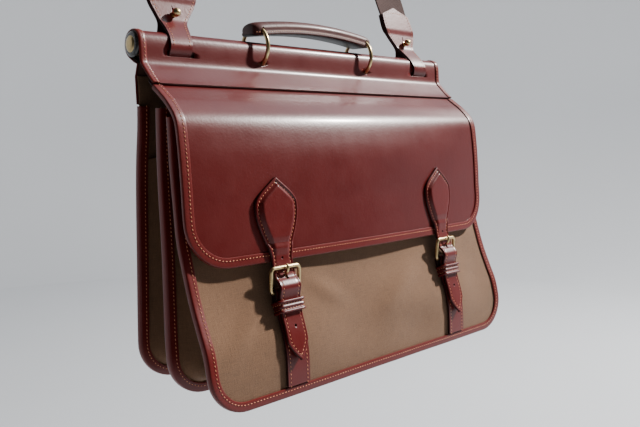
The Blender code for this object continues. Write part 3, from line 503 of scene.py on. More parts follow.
def link(name, data):
    thing = bpy.data.objects.new(name, data)
    bpy.context.collection.objects.link(thing)
    return thing


def mesh_object(name, points, faces, finishes, slots=None, uv=None, wear=None):
    """A closed body about the bar axis, moved to its place, with its faces turned outward."""
    mesh = bpy.data.meshes.new(name)
    mesh.from_pydata([tuple(float(c) for c in p + BAR_AXIS) for p in np.asarray(points)], [], faces)
    if slots is not None:
        mesh.polygons.foreach_set("material_index", slots)
    if uv is not None:
        layer = mesh.uv_layers.new(name="cloth")
        index = np.empty(len(mesh.loops), dtype=np.int64)
        mesh.loops.foreach_get("vertex_index", index)
        layer.uv.foreach_set("vector", np.asarray(uv, dtype=np.float32)[index].ravel())
    if wear is not None:
        layer = mesh.attributes.new("wear", "FLOAT", "POINT")
        layer.data.foreach_set("value", np.asarray(wear, dtype=np.float32))
    shape = bmesh.new()
    shape.from_mesh(mesh)
    bmesh.ops.recalc_face_normals(shape, faces=shape.faces)
    if shape.calc_volume(signed=True) < 0:
        bmesh.ops.reverse_faces(shape, faces=shape.faces)
    shape.to_mesh(mesh)
    shape.free()
    mesh.shade_smooth()
    mesh.set_sharp_from_angle(angle=math.radians(SHARP_FROM))
    for one in finishes:
        mesh.materials.append(finish(one))
    return link(name, mesh)


def wall(name, rows, thickness, finishes, front=None):
    """A closed wall on a grid of middle points: its front, its back and its rim each have a finish."""
    grid = np.array(rows, float)
    count, columns = grid.shape[:2]
    normals = grid_normals(grid)
    back = np.full((count, columns), thickness / 2)
    front = back if front is None else front
    top = (grid + normals * front[..., None]).reshape(-1, 3)
    low = (grid - normals * back[..., None]).reshape(-1, 3)
    size = count * columns
    faces = grid_faces(count, columns) + grid_faces(count, columns, size)
    slots = [0] * (len(faces) // 2) + [1] * (len(faces) // 2)
    ring = [(0, j) for j in range(columns)] + [(i, columns - 1) for i in range(1, count)]
    ring += [(count - 1, j) for j in range(columns - 2, -1, -1)] + [(i, 0) for i in range(count - 2, 0, -1)]
    rim = []
    for a, b in ring:
        out = unit(grid[a, b] - grid[clamp(a, 1, count - 2), clamp(b, 1, columns - 2)])
        middle = grid[a, b] + normals[a, b] * (front[a, b] - back[a, b]) / 2
        rim.append(middle + out * (front[a, b] + back[a, b]) / 2 * RIM_ROUNDNESS)
    for k, ((a, b), (c, d)) in enumerate(zip(ring, ring[1:] + ring[:1])):
        p, q = a * columns + b, c * columns + d
        m, n = 2 * size + k, 2 * size + (k + 1) % len(ring)
        faces += [(p, q, n, m), (m, n, q + size, p + size)]
        slots += [2, 2]
    centre = columns // 2
    along = running_marks(grid[:, centre])
    across = np.linalg.norm(grid - grid[:, centre][:, None], axis=2) * np.sign(np.arange(columns) - centre)
    uv = np.stack([across, np.broadcast_to(along[:, None], across.shape)], axis=-1).reshape(-1, 2)
    uv_rim = np.array([uv[a * columns + b] for a, b in ring])
    return mesh_object(name, np.concatenate([top, low, np.array(rim)]), faces, finishes, slots,
                       np.concatenate([uv, uv, uv_rim]))


def sweep(name, stations, section, finishes, closed=False, wear=None, slots=None):
    """A solid whose section, or one section for each station, is carried along origins with two axes."""
    sections = section if isinstance(section[0], list) else [section] * len(stations)
    points = [o + a * u + b * v for (o, a, b), outline in zip(stations, sections) for u, v in outline]
    count, columns = len(stations), len(sections[0])
    faces = grid_faces(count, columns, wrap=True)
    if closed:
        last = (count - 1) * columns
        faces += [(last + j, last + (j + 1) % columns, (j + 1) % columns, j) for j in range(columns)]
    face_slots = [slots[k % columns] if slots else 0 for k in range(len(faces))]
    if not closed:
        faces += end_faces(count, columns)
        face_slots += [0, 0]
    marks = running_marks(np.array([o for o, a, b in stations]))
    uv = [(u, mark) for mark, outline in zip(marks, sections) for u, v in outline]
    shades = None if wear is None else [wear[k % columns] for k in range(count * columns)]
    return mesh_object(name, points, faces, finishes, face_slots, uv, shades)


def circle(radius, sides, start=0.0):
    turns = (start + 2 * math.pi * k / sides for k in range(sides))
    return [(radius * math.cos(t), radius * math.sin(t)) for t in turns]


def ring_stations(centre, radius, count):
    """Stations round the X direction."""
    spokes = [np.array([0, u, v]) for u, v in circle(1, count)]
    return [(np.asarray(centre, float) + spoke * radius, spoke, np.array([1.0, 0, 0])) for spoke in spokes]


def turned(name, profile, origin, axis, finishes, sides=48, slots=None):
    """A solid turned about an axis from rows of distance along it and radius, closed at both ends."""
    axis = unit(axis)
    side = unit(np.cross(axis, (0, 0.31, 0.95) if abs(axis[0]) > 0.5 else (1, 0, 0)))
    up = np.cross(axis, side)
    points = [origin + axis * along + side * u + up * v
              for along, radius in profile for u, v in circle(radius, sides)]
    faces = grid_faces(len(profile), sides, wrap=True)
    face_slots = [slots[k // sides] if slots else 0 for k in range(len(faces))]
    return mesh_object(name, points, faces + end_faces(len(profile), sides), finishes,
                       face_slots + [face_slots[0], face_slots[-1]])


def slab(name, place, axes, spans):
    """A plain block along three axes."""
    corners = [place + sum(axis * span[bit] for axis, span, bit in zip(axes, spans, bits))
               for bits in ((0, 0, 0), (1, 0, 0), (1, 1, 0), (0, 1, 0), (0, 0, 1), (1, 0, 1), (1, 1, 1), (0, 1, 1))]
    faces = [(0, 1, 2, 3), (4, 5, 6, 7), (0, 1, 5, 4), (1, 2, 6, 5), (2, 3, 7, 6), (3, 0, 4, 7)]
    return mesh_object(name, corners, faces, ("edge",))


def settle(piece, nodes=(), body="bag"):
    """The finished piece rides on its body and stands for its nodes."""
    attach(piece, body)
    if nodes:
        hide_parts(*nodes)
    return piece


def cut(thing, cutters):
    """Takes the cutters away from a piece and leaves a plain mesh."""
    for cutter in cutters:
        step = thing.modifiers.new("cut", "BOOLEAN")
        step.operation = "DIFFERENCE"
        step.solver = "EXACT"
        step.material_mode = "TRANSFER"
        step.object = cutter
    flatten(thing)
    for cutter in cutters:
        bpy.data.objects.remove(cutter, do_unlink=True)


def flatten(thing):
    """Makes what a piece's modifiers show its own mesh."""
    shown = thing.evaluated_get(bpy.context.evaluated_depsgraph_get())
    mesh = bpy.data.meshes.new_from_object(shown)
    thing.modifiers.clear()
    thing.data = mesh


# Finishes

class Value:
    """A shader socket that takes part in plain arithmetic."""

    def __init__(self, tree, socket=None):
        self.tree = tree
        self.socket = socket

    def node(self, kind, settings=None, inputs=None, output=0):
        """Adds a node: its settings come first, then the values or links of its sockets."""
        made = self.tree.nodes.new(kind)
        for name, value in (settings or {}).items():
            setattr(made, name, value)
        for key, value in (inputs or {}).items():
            if isinstance(value, Value):
                self.tree.links.new(value.socket, made.inputs[key])
            else:
                made.inputs[key].default_value = value
        return Value(self.tree, made.outputs[output])

    def maths(self, operation, *others):
        return self.node("ShaderNodeMath", {"operation": operation}, dict(enumerate((self, *others))))

    def __add__(self, other):
        return self.maths("ADD", other)

    __radd__ = __add__

    def __mul__(self, other):
        return self.maths("MULTIPLY", other)

    __rmul__ = __mul__

    def __sub__(self, other):
        return self.maths("SUBTRACT", other)

    def __rsub__(self, other):
        return self.maths("MULTIPLY_ADD", -1.0, other)

    def __truediv__(self, other):
        return self.maths("DIVIDE", other)

    def sine(self):
        return self.maths("SINE")

    def clamped(self, low=0.0, high=1.0):
        return self.node("ShaderNodeClamp", None, {0: self, 1: low, 2: high})

    def blend(self, low, high):
        """A colour between two, by this value."""
        return self.node("ShaderNodeMix", {"data_type": "RGBA"}, {0: self, 6: low, 7: high}, output=2)


def rgba(colour):
    return (*colour, 1.0)


def shaded(colour, factor):
    return rgba(tuple(min(c * factor, 1.0) for c in colour))


class Finish:
    """A new material with its shader, object coordinates and cloth coordinates at hand."""

    def __init__(self, name, **constants):
        self.material = bpy.data.materials.new(name)
        self.material.use_nodes = True
        tree = self.material.node_tree
        self.shader = next(n for n in tree.nodes if n.type == "BSDF_PRINCIPLED")
        self.start = Value(tree)
        self.place = self.start.node("ShaderNodeTexCoord", output=3)
        for key, value in constants.items():
            self.shader.inputs[key.replace("_", " ").title().replace("Ior", "IOR")].default_value = value

    def noise(self, scale, detail=3.0, roughness=0.5, vector=None):
        return self.start.node("ShaderNodeTexNoise", None, {
            "Vector": vector or self.place, "Scale": scale, "Detail": detail, "Roughness": roughness})

    def cells(self, scale, feature="F1"):
        return self.start.node("ShaderNodeTexVoronoi", {"feature": feature},
                               {"Vector": self.place, "Scale": scale})

    def stretched(self, x, y, z, vector=None):
        return self.start.node("ShaderNodeMapping", None, {"Vector": vector or self.place, "Scale": (x, y, z)})

    def cloth(self):
        """Across and along a piece, in metres, after both in one vector."""
        uv = self.start.node("ShaderNodeUVMap", {"uv_map": "cloth"})
        split = self.start.node("ShaderNodeSeparateXYZ", None, {0: uv})
        return uv, split, Value(split.tree, split.socket.node.outputs[1])

    def wear(self):
        return self.start.node("ShaderNodeAttribute", {"attribute_name": "wear"}, output=2)

    def feed(self, key, value):
        self.start.tree.links.new(value.socket, self.shader.inputs[key])

    def made(self, colour, roughness, bump=None, smoothest=0.0):
        """Gives the material; the bump is its height, its distance and its strength."""
        self.feed("Base Color", colour)
        self.feed("Roughness", roughness.clamped(smoothest))
        if bump:
            height, distance, strength = bump
            self.feed("Normal", self.start.node("ShaderNodeBump", None, {
                "Strength": strength, "Distance": distance, "Height": height}))
        return self.material


def hide(name, dark, light, rough, coat, grain=1.0, worn=None, cloud_scale=11.0):
    """Polished leather: clouded dye, fine pores, soft creases and a polish that varies."""
    look = Finish(name, coat_weight=coat, coat_roughness=0.16, coat_ior=1.4, specular_ior_level=0.30)
    clouds = look.noise(cloud_scale, 4.0, 0.55)
    patches = look.noise(cloud_scale * 5, 3.0, 0.6)
    pores = look.cells(950.0)
    pebble = look.cells(430.0, "SMOOTH_F1")
    creases = look.noise(95.0, 4.0, 0.62, look.stretched(1.0, 1.0, 0.45))
    colour = (clouds * 1.5 + patches * 0.5 - 0.5).clamped().blend(rgba(dark), rgba(light))
    colour = (pores * 0.55).clamped(0.0, 0.16).blend(colour, shaded(dark, 0.45))
    if worn is not None:
        colour = (look.wear() * (0.55 + patches * 0.7)).clamped().blend(colour, rgba(worn))
    roughness = rough + (clouds - 0.5) * 0.10 + (patches - 0.5) * 0.12 + creases * 0.05
    return look.made(colour, roughness, (pebble * 0.35 + pores * 0.25 + creases * 0.8, 0.00022 * grain, 0.55), 0.1)


def flesh_side():
    base = colours().lining_side
    look = Finish("flesh side of the leather", specular_ior_level=0.2, sheen_weight=0.2)
    fibres = look.noise(620.0, 4.0, 0.7, look.stretched(1.0, 0.6, 1.0))
    clouds = look.noise(20.0, 3.0)
    tone = (fibres * 0.7 + clouds * 0.5 - 0.1).clamped()
    return look.made(tone.blend(shaded(base, 0.65), shaded(base, 1.4)), 0.82 + fibres * 0.12, (fibres, 0.0004, 0.6))


def cut_edge():
    base = colours().raw_edge
    look = Finish("inked edge of the leather", specular_ior_level=0.12)
    layers = look.noise(900.0, 3.0, 0.6)
    return look.made(layers.blend(rgba(base), shaded(base, 1.9)), 0.42 + layers * 0.2, (layers, 0.00015, 0.5))


def canvas():
    """Plain weave with slubs, a soft dusty sheen and faint rubbed patches."""
    base = colours().canvas
    look = Finish("brown canvas", specular_ior_level=0.18, sheen_weight=0.12, sheen_roughness=0.6)
    uv, across, along = look.cloth()
    turn = 2 * math.pi / sizes().canvas_thread
    weave = 0.5 + 0.5 * (across * turn).sine() * (along * turn).sine()
    slub_across = look.noise(1.0, 2.0, 0.6, look.stretched(90.0, 1400.0, 1.0, uv))
    slub_along = look.noise(1.0, 2.0, 0.6, look.stretched(1400.0, 90.0, 1.0, uv))
    speckle = look.noise(1500.0, 2.0, 0.7)
    rubbed = look.noise(14.0, 4.0, 0.55)
    yarn = (slub_across + slub_along) * 0.5
    tone = weave * 0.30 + (yarn - 0.5) * 1.1 + (speckle - 0.5) * 0.7 + (rubbed - 0.5) * 0.5 + 0.32
    return look.made(tone.clamped().blend(shaded(base, 0.50), shaded(base, 1.45)), 0.86 + weave * 0.08,
                     (weave * 0.6 + yarn * 0.9 + speckle * 0.5, 0.00045, 0.65))


def herringbone():
    """Webbing ribs that lean one way and then the other across its width."""
    base = colours().webbing
    look = Finish("woven strap", specular_ior_level=0.25, sheen_weight=0.1, sheen_roughness=0.5)
    uv, across, along = look.cloth()
    rib = 2 * math.pi / sizes().webbing_rib
    column = 2 * math.pi / (WEBBING_WIDTH / 8)
    lean = (across * column).maths("COSINE").maths("ARCCOSINE") / column
    ribs = 0.5 + 0.5 * ((along + lean * 0.9) * rib).sine()
    cord = 0.5 + 0.5 * (across * (rib * 1.1)).sine()
    fuzz = look.noise(1200.0, 3.0, 0.7)
    rubbed = look.noise(30.0, 3.0)
    tone = (ribs * 0.75 + cord * 0.2 + (fuzz - 0.5) * 0.6 + (rubbed - 0.5) * 0.3).clamped()
    return look.made(tone.blend(shaded(base, 0.35), shaded(base, 1.35)), 0.78 + fuzz * 0.15,
                     (ribs * 0.9 + cord * 0.35 + fuzz * 0.25, 0.0006, 0.7))


def aged_brass():
    base = colours().brass
    look = Finish("aged brass", metallic=1.0)
    smudges = look.noise(130.0, 4.0, 0.6)
    scratches = look.noise(900.0, 2.0, 0.5, look.stretched(0.25, 1.0, 1.0))
    spots = look.noise(420.0, 3.0, 0.7)
    tone = (smudges * 1.3 + spots * 0.5 - 0.45).clamped()
    return look.made(tone.blend(shaded(base, 0.62), shaded(base, 1.12)),
                     0.26 + (0.5 - smudges) * 0.22 + scratches * 0.10,
                     (scratches * 0.6 + spots * 0.4, 0.00006, 0.5), 0.08)


# Near-black finish for the domes of the bar's end caps: a painted dark reflection of the surroundings on their polished
# brass.
def painted_reflection_cap():
    look = Finish("cap with painted dark reflection", metallic=0.3, coat_weight=0.6, coat_roughness=0.08)
    smudges = look.noise(160.0, 3.0)
    return look.made(smudges.blend((0.012, 0.011, 0.012, 1), (0.040, 0.036, 0.034, 1)), 0.18 + smudges * 0.2,
                     (smudges, 0.0001, 0.3))


def thread():
    base = colours().thread
    look = Finish("waxed thread", specular_ior_level=0.4)
    twist = look.noise(2600.0, 2.0, 0.6, look.stretched(1.0, 1.0, 0.5))
    tone = (twist * 0.8 + look.noise(60.0, 3.0) * 0.7 - 0.3).clamped()
    return look.made(tone.blend(shaded(base, 0.62), shaded(base, 1.25)), 0.5 + twist * 0.25, (twist, 0.0002, 0.6))


def rod_wood():
    look = Finish("plain rod")
    grain = look.noise(30.0, 4.0, 0.6, look.stretched(0.08, 1.0, 1.0))
    return look.made(grain.blend((0.16, 0.09, 0.05, 1), (0.30, 0.19, 0.11, 1)), 0.55 + grain * 0.2,
                     (grain, 0.0003, 0.4))


def plain_stage():
    base = colours().backdrop
    look = Finish("pale studio", specular_ior_level=0.1, emission_strength=0.16, emission_color=shaded(base, 0.70))
    mottle = look.noise(2.0, 3.0)
    return look.made(mottle.blend(shaded(base, 0.56), shaded(base, 0.60)), 0.85 + mottle * 0.1)


def named_finishes():
    c = colours()
    return {
        "leather": lambda: hide("polished hide", c.leather, c.leather_light, 0.36, 0.20),
        "strap leather": lambda: hide("strap hide", shaded(c.leather, 1.15)[:3], shaded(c.leather_light, 1.15)[:3],
                                      0.36, 0.20, 1.2, None, 30.0),
        "trim": lambda: hide("edge strip hide", c.trim, shaded(c.trim, 1.35)[:3], 0.38, 0.16, 1.2,
                             (0.16, 0.016, 0.012), 26.0),
        "handle": lambda: hide("handle hide", c.handle, shaded(c.handle, 1.7)[:3], 0.46, 0.10, 1.6, None, 40.0),
        # Near-black leather for the handle's sole and the walls of its ring holes: painted shade under the handle and
        # in the holes.
        "under": lambda: hide("painted shade hide", (0.006, 0.005, 0.006), (0.020, 0.015, 0.015), 0.5, 0.05, 1.5),
        "flesh": flesh_side,
        "edge": cut_edge,
        "canvas": canvas,
        "webbing": herringbone,
        "brass": aged_brass,
        "dark cap": painted_reflection_cap,
        "thread": thread,
        "rod": rod_wood,
        "stage": plain_stage,
    }


MADE = {}


def finish(name):
    if name not in MADE:
        MADE[name] = named_finishes()[name]()
    return MADE[name]


# Stitches

def stitch_tree():
    """Nodes that lay short thread lozenges along lines; each line's points say which way the leather faces."""
    tree = bpy.data.node_groups.get("Stitches along a seam")
    if tree:
        return tree
    tree = bpy.data.node_groups.new("Stitches along a seam", "GeometryNodeTree")
    wanted = (("Seam", "NodeSocketGeometry"), ("Pitch", "NodeSocketFloat"), ("Length", "NodeSocketFloat"),
              ("Thickness", "NodeSocketFloat"), ("Slant", "NodeSocketFloat"), ("Seed", "NodeSocketInt"),
              ("Thread", "NodeSocketMaterial"))
    for name, kind in wanted:
        tree.interface.new_socket(name=name, in_out="INPUT", socket_type=kind)
    tree.interface.new_socket(name="Stitches", in_out="OUTPUT", socket_type="NodeSocketGeometry")
    group = Value(tree)
    entry = tree.nodes.new("NodeGroupInput")
    given = {socket.name: Value(tree, socket) for socket in entry.outputs if socket.name}
    curve = group.node("GeometryNodeMeshToCurve", None, {"Mesh": given["Seam"]})
    spaced = group.node("GeometryNodeResampleCurve", {"mode": "LENGTH"}, {"Curve": curve, "Length": given["Pitch"]})
    facing = group.node("GeometryNodeInputNamedAttribute", {"data_type": "FLOAT_VECTOR"}, {"Name": "facing"})
    tangent = group.node("GeometryNodeInputTangent")
    turn = group.node("FunctionNodeAlignRotationToVector", {"axis": "X"}, {"Vector": tangent})
    turn = group.node("FunctionNodeAlignRotationToVector", {"axis": "Z", "pivot_axis": "X"},
                      {"Rotation": turn, "Vector": facing})
    chance = group.node("FunctionNodeRandomValue", {"data_type": "FLOAT"}, {"Seed": given["Seed"]}, output=1)
    chance_min, chance_max = chance.socket.node.inputs[2], chance.socket.node.inputs[3]
    chance_min.default_value, chance_max.default_value = 0.86, 1.12
    slant = group.node("ShaderNodeCombineXYZ", None, {2: given["Slant"] * chance})
    twist = group.node("FunctionNodeEulerToRotation", None, {0: slant})
    turn = group.node("FunctionNodeRotateRotation", {"rotation_space": "LOCAL"}, {0: turn, 1: twist})
    size = group.node("ShaderNodeCombineXYZ", None, {
        0: given["Length"] * chance * 0.5, 1: given["Thickness"] * chance * 0.5, 2: given["Thickness"] * 0.5})
    lozenge = group.node("GeometryNodeMeshUVSphere", None, {"Segments": 6, "Rings": 4, "Radius": 1.0})
    placed = group.node("GeometryNodeInstanceOnPoints", None, {
        "Points": spaced, "Instance": lozenge, "Rotation": turn, "Scale": size})
    real = group.node("GeometryNodeRealizeInstances", None, {0: placed})
    smooth = group.node("GeometryNodeSetShadeSmooth", None, {0: real})
    done = group.node("GeometryNodeSetMaterial", None, {"Geometry": smooth, "Material": given["Thread"]})
    leave = tree.nodes.new("NodeGroupOutput")
    tree.links.new(done.socket, leave.inputs[0])
    return tree


def stitches(name, lines, body="bag", pitch=1.0, slant=0.16):
    """One piece of thread for lines of (place, facing) rows."""
    points, edges, facings = [], [], []
    for line in lines:
        first = len(points)
        for place, facing in line:
            points.append(tuple(float(c) for c in place + BAR_AXIS))
            facings.append(unit(facing))
        edges += [(k, k + 1) for k in range(first, len(points) - 1)]
    mesh = bpy.data.meshes.new(name)
    mesh.from_pydata(points, edges, [])
    mesh.attributes.new("facing", "FLOAT_VECTOR", "POINT").data.foreach_set("vector", np.array(facings).ravel())
    thing = link(name, mesh)
    tree = stitch_tree()
    step = thing.modifiers.new("stitches", "NODES")
    step.node_group = tree
    values = {"Pitch": sizes().stitch_pitch * pitch, "Length": sizes().stitch_length * pitch,
              "Thickness": sizes().stitch_width, "Slant": slant, "Seed": len(name), "Thread": finish("thread")}
    for item in tree.interface.items_tree:
        if item.in_out == "INPUT" and item.name in values:
            step[item.identifier] = values[item.name]
    bpy.context.view_layer.update()
    flatten(thing)
    if not thing.data.materials:
        thing.data.materials.append(finish("thread"))
    return settle(thing, (), body)


# Sections of folded strips

def soft_channel(face, grip, behind, before, leather):
    """Section of a folded strip with a round crest, outward and facing, and how worn each of its points is."""
    low, high = -behind - leather, before + leather
    middle, half = (low + high) / 2, (high - low) / 2
    rows = []
    for t in np.radians(range(-90, 91, 18)):
        crest = max(math.cos(t), 0)
        rows.append((grip * 0.3 + (grip * 0.7 + leather) * crest**0.6, middle + half * math.sin(t), crest**2))
    rows += [(-face * 0.30, high, 0.05), (-face * 0.62, high - leather * 0.10, 0), (-face * 0.90, high, 0.1),
             (-face * 0.985, high - leather * 0.18, 0.75), (-face, high - leather * 0.5, 0.4), (-face, before, 0),
             (grip, before, 0), (grip, -behind, 0), (-face, -behind, 0), (-face, low + leather * 0.5, 0.4),
             (-face * 0.985, low + leather * 0.18, 0.75), (-face * 0.62, low + leather * 0.10, 0)]
    return [(out, across) for out, across, worn in rows], [worn for out, across, worn in rows]


def seam_lines(stations, face, behind, before, leather):
    """Stitch lines near a folded strip's inner edge, on its front and on its back."""
    reach = -face * 0.62
    return [[(o + a * reach + b * (before + leather), b) for o, a, b in stations],
            [(o + a * reach - b * (behind + leather), -b) for o, a, b in stations]]


BARE_SIDE = CANVAS / 2 + SEAM_SLACK
GUSSET_SIDE = BARE_SIDE + GUSSET_CANVAS + CLEARANCE
GUSSET_MIDDLE = BARE_SIDE + GUSSET_CANVAS / 2


# Bar, its leather wrap and its caps

def wrap_route():
    """Middle line of the wrap: yoke edge, round the bar and down behind the back panel."""
    leather = SLEEVE_LEATHER
    middle = SLEEVE_RADIUS - leather / 2
    run = FLAP_SKIN.run
    edge = run.distance_at_drop(YOKE_DROP)
    crease = np.array([-0.79 * SLEEVE_RADIUS, -1.24 * SLEEVE_RADIUS])
    route = []
    for distance in (edge, edge - FLAP_TUCK, run.length * 0.02):
        ty, tz = run.tangent(distance)
        route.append(run.at(distance) - np.array([tz, -ty]) * leather / 2)
    route.append(crease)
    for angle in range(190, -61, -10):
        turn = math.radians(angle)
        route.append(np.array([middle * math.cos(turn), middle * math.sin(turn)]))
    under = crease + unit((0.75, -0.66)) * (leather + CLEARANCE)
    route += [np.array([-0.08 * middle, -1.19 * middle]), under]
    start = BACK_SKIN.run.distance_at_drop(BACK_TOP)
    for distance in np.linspace(start, BACK_SKIN.run.length - PANEL_BEND, 11)[:2]:
        place = BACK_SKIN.point(0, distance, -(CANVAS / 2 + CLEARANCE + leather / 2))
        route.append(np.array([place[1], place[2]]))
    return np.array(route)


def strap_x(height):
    return STRAP_SPACING / 2 - STRAP_TAPER * height


TAB_INNER = SLEEVE_RADIUS + CLEARANCE
TAB_MIDDLE = TAB_INNER + STRAP_END_LEATHER / 2


def wrap_normals(route):
    along = np.gradient(route, axis=0)
    outward = np.stack([-along[:, 1], along[:, 0]], axis=1)
    return outward / np.linalg.norm(outward, axis=1, keepdims=True)


def build_bar():
    route = wrap_route()
    dense = np.concatenate([smooth_points(route[:4], 6)[:-1], route[3:]])
    soften(dense, 2, 24, 10)
    half = SLEEVE_LENGTH / 2
    columns = np.linspace(-half, half, 2 + 20 * DENSE)
    rows = [[(x, y, z) for x in columns] for y, z in dense]
    thing = wall("bar_wrap", rows, SLEEVE_LEATHER, ("flesh", "leather", "edge"))
    inner, outer = SLEEVE_RADIUS + CLEARANCE / 5, TAB_INNER + STRAP_END_LEATHER + CLEARANCE
    low, high = inner - TAB_MIDDLE, outer - TAB_MIDDLE
    slot_half = TAB_WIDTH / 2 + CLEARANCE + STRAP_TAPER * outer
    slot = [(low, -slot_half), (high, -slot_half), (high, slot_half), (low, slot_half)]
    cutters = []
    for side in (-1, 1):
        cutters.append(sweep("ring hole", ring_stations(ring_centre(side), RING_RADIUS, 40),
                             circle(RING_WIRE + CLEARANCE * 1.5, 12), ("edge",), closed=True))
        cutters.append(sweep("strap slot", ring_stations((side * strap_x(0), 0, 0), TAB_MIDDLE, 60), slot,
                             ("edge",), closed=True))
    cut(thing, cutters)
    settle(thing, ("bar_sleeve",))
    y, z = route[2] + (route[3] - route[2]) * YOKE_SEAM_SHARE
    facing = np.array([0, *wrap_normals(route)[2]])
    line = [(np.array([x, y, z]) + facing * (SLEEVE_LEATHER / 2 + SEAM_LIFT), facing)
            for x in np.linspace(YOKE_SEAM_INSET - half, half - YOKE_SEAM_INSET, 60)]
    stitches("wrap_stitches", [line], pitch=0.80)
    root = BAR_RADIUS * 0.9
    profile = [(-0.003, root), (0, root)] + [(rise * CAP_RISE, reach * CAP_RADIUS) for rise, reach in CAP_PROFILE]
    for side, word in SIDES:
        end_strip(side, word, dense)
        # The dome of each cap takes the near-black finish, a painted dark reflection on the brass; only its knob takes
        # the brass finish.
        cap = turned(f"bar_end_{word}", profile, np.array([side * (half + CLEARANCE), 0, 0]), (side, 0, 0),
                     ("dark cap", "brass"), 48, [0] * 8 + [1] * 5)
        settle(cap, (f"bar_cap_{word}",))
    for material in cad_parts["top_bar"].material_slots:
        material.material = finish("rod")


def end_strip(side, word, route):
    """Thin folded strip over the end of the wrap, from the yoke's edge over the bar to the back."""
    across = np.array([side, 0.0, 0.0])
    stations = []
    for (y, z), normal in zip(route, wrap_normals(route)):
        facing = np.array([0, *normal])
        place = np.array([side * SLEEVE_LENGTH / 2, y, z]) + facing * SLEEVE_LEATHER / 2
        stations.append((place, across, facing))
    thing = sweep(f"wrap_end_strip_{word}", stations, [(u, v) for u, v, worn in END_STRIP_SECTION], ("trim",),
                  wear=[worn for u, v, worn in END_STRIP_SECTION])
    settle(thing, ())
    inset, lift = END_STRIP_SEAM
    line = [(o + a * inset + b * lift, b) for o, a, b in stations]
    stitches(f"wrap_end_stitches_{word}", [line])


# Flap

def build_flap():
    half, corner = HALF_WIDTH - FLAP_INSET, FLAP_CORNER - FLAP_INSET
    edge = FLAP_SKIN.run.distance_at_drop(YOKE_DROP)
    rows = cloth_rows(FLAP_SKIN, half, corner, 30 * DENSE, 40 * DENSE + 1, edge - FLAP_TUCK)
    settle(wall("flap_leather", rows, FLAP_LEATHER, ("leather", "flesh", "edge")), ("flap",))
    side = FLAP_LEATHER / 2 + CLEARANCE
    stations = edge_stations(FLAP_SKIN, half, corner, 20 * DENSE, 24 * DENSE, edge + 0.0015)
    edge_strip("flap_edge", "flap_binding", stations, (FLAP_TRIM_FACE, side, side, FLAP_TRIM_LEATHER))


# Panels

def edge_strip(name, node, stations, strip, stitch_name=None):
    """A folded strip along stations, with its thread; strip: face, behind, before and leather."""
    face, behind, before, leather = strip
    section, wear = soft_channel(face, CLEARANCE, behind, before, leather)
    settle(sweep(f"{name}_strip", stations, section, ("trim",), wear=wear), (node,))
    stitches(stitch_name or f"{name}_stitches", seam_lines(stations, *strip))


def panel(name, node, skin, top_drop, parts):
    start = skin.run.distance_at_drop(top_drop)
    rows = cloth_rows(skin, PANEL_HALF, PANEL_BEND, 26 * DENSE, 36 * DENSE + 1, start, parts)
    thing = settle(wall(name, rows, CANVAS, ("canvas",) * 3), (node,))


def binding(name, node, skin, top_drop, behind, before, skip=0.0):
    start = skin.run.distance_at_drop(top_drop) + skip
    stations = edge_stations(skin, PANEL_HALF, PANEL_BEND, 20 * DENSE, 20 * DENSE, start)
    edge_strip(name, node, stations, (BINDING_FACE, behind, before, BINDING_LEATHER), f"{name}_strip_stitches")


def ripple(x, distance):
    """Slight slackness of the front canvas beside its straps and seams."""
    edge = max(1 - (abs(x) / PANEL_HALF) ** 8, 0)
    sway = math.sin(x * 31 + distance * 17) * math.sin(distance * 43 - x * 9)
    return 0.0004 * edge * sway


def build_panels():
    panel("back_canvas", "back_panel", BACK_SKIN, BACK_TOP, ripple)
    panel("middle_canvas", "middle_panel", MIDDLE_SKIN, MIDDLE_TOP, None)
    panel("front_canvas", "front_panel", FRONT_SKIN, FRONT_TOP, None)
    step = (BACK_SKIN.run.length - PANEL_BEND) / 10
    binding("back_edge", "back_binding", BACK_SKIN, BACK_TOP, BARE_SIDE, GUSSET_SIDE, 1.06 * step)
    binding("middle_edge", "middle_binding", MIDDLE_SKIN, MIDDLE_TOP, GUSSET_SIDE, GUSSET_SIDE)
    binding("front_edge", "front_binding", FRONT_SKIN, FRONT_TOP, GUSSET_SIDE, BARE_SIDE)


def fold_depth(share):
    """Depth of a gusset's fold across it: a soft crest in the middle."""
    near = math.sqrt((2 * share - 1) ** 2 + 0.006)
    return max(1 - near, 0) ** 0.72


def gusset(name, node, first, second, skip):
    """Folded canvas strip between the faces of two panels."""
    sets = []
    for skin, top_drop, lower in ((*first, skip[0]), (*second, skip[1])):
        start = skin.run.distance_at_drop(top_drop)
        start += (skin.run.length - PANEL_BEND - start) * lower
        sets.append(edge_stations(skin, PANEL_HALF, PANEL_BEND, 24 * DENSE, 24 * DENSE, start))
    mouth = BINDING_FACE + CLEARANCE + GUSSET_CANVAS
    rows = []
    for k, ((a, out_a, face_a), (b, out_b, face_b)) in enumerate(zip(*sets)):
        upright = abs(out_a[0])
        near_corner = 1 - abs(2 * upright - 1)
        fold = FOOT_FOLD + (SIDE_FOLD - FOOT_FOLD) * upright**2 - GUSSET_CORNER_SLACK * near_corner
        sway = GUSSET_SWAY * math.sin(0.55 * k) * math.sin(0.21 * k + 1.0) * upright
        rear, fore = a + face_a * GUSSET_MIDDLE, b - face_b * GUSSET_MIDDLE
        depths = (CLEARANCE, mouth * 0.5, mouth)
        row = [rear - out_a * depth for depth in depths]
        for share in np.linspace(0.06, 0.94, 15):
            place = (rear - out_a * mouth) * (1 - share) + (fore - out_b * mouth) * share
            crumple = sway * math.sin(math.pi * share) * math.cos(7 * share)
            inward = unit(out_a * (1 - share) + out_b * share)
            row.append(place - inward * (fold * fold_depth(share) + crumple))
        rows.append(row + [fore - out_b * depth for depth in reversed(depths)])
    thing = settle(wall(name, rows, GUSSET_CANVAS, ("canvas",) * 3), (node,))


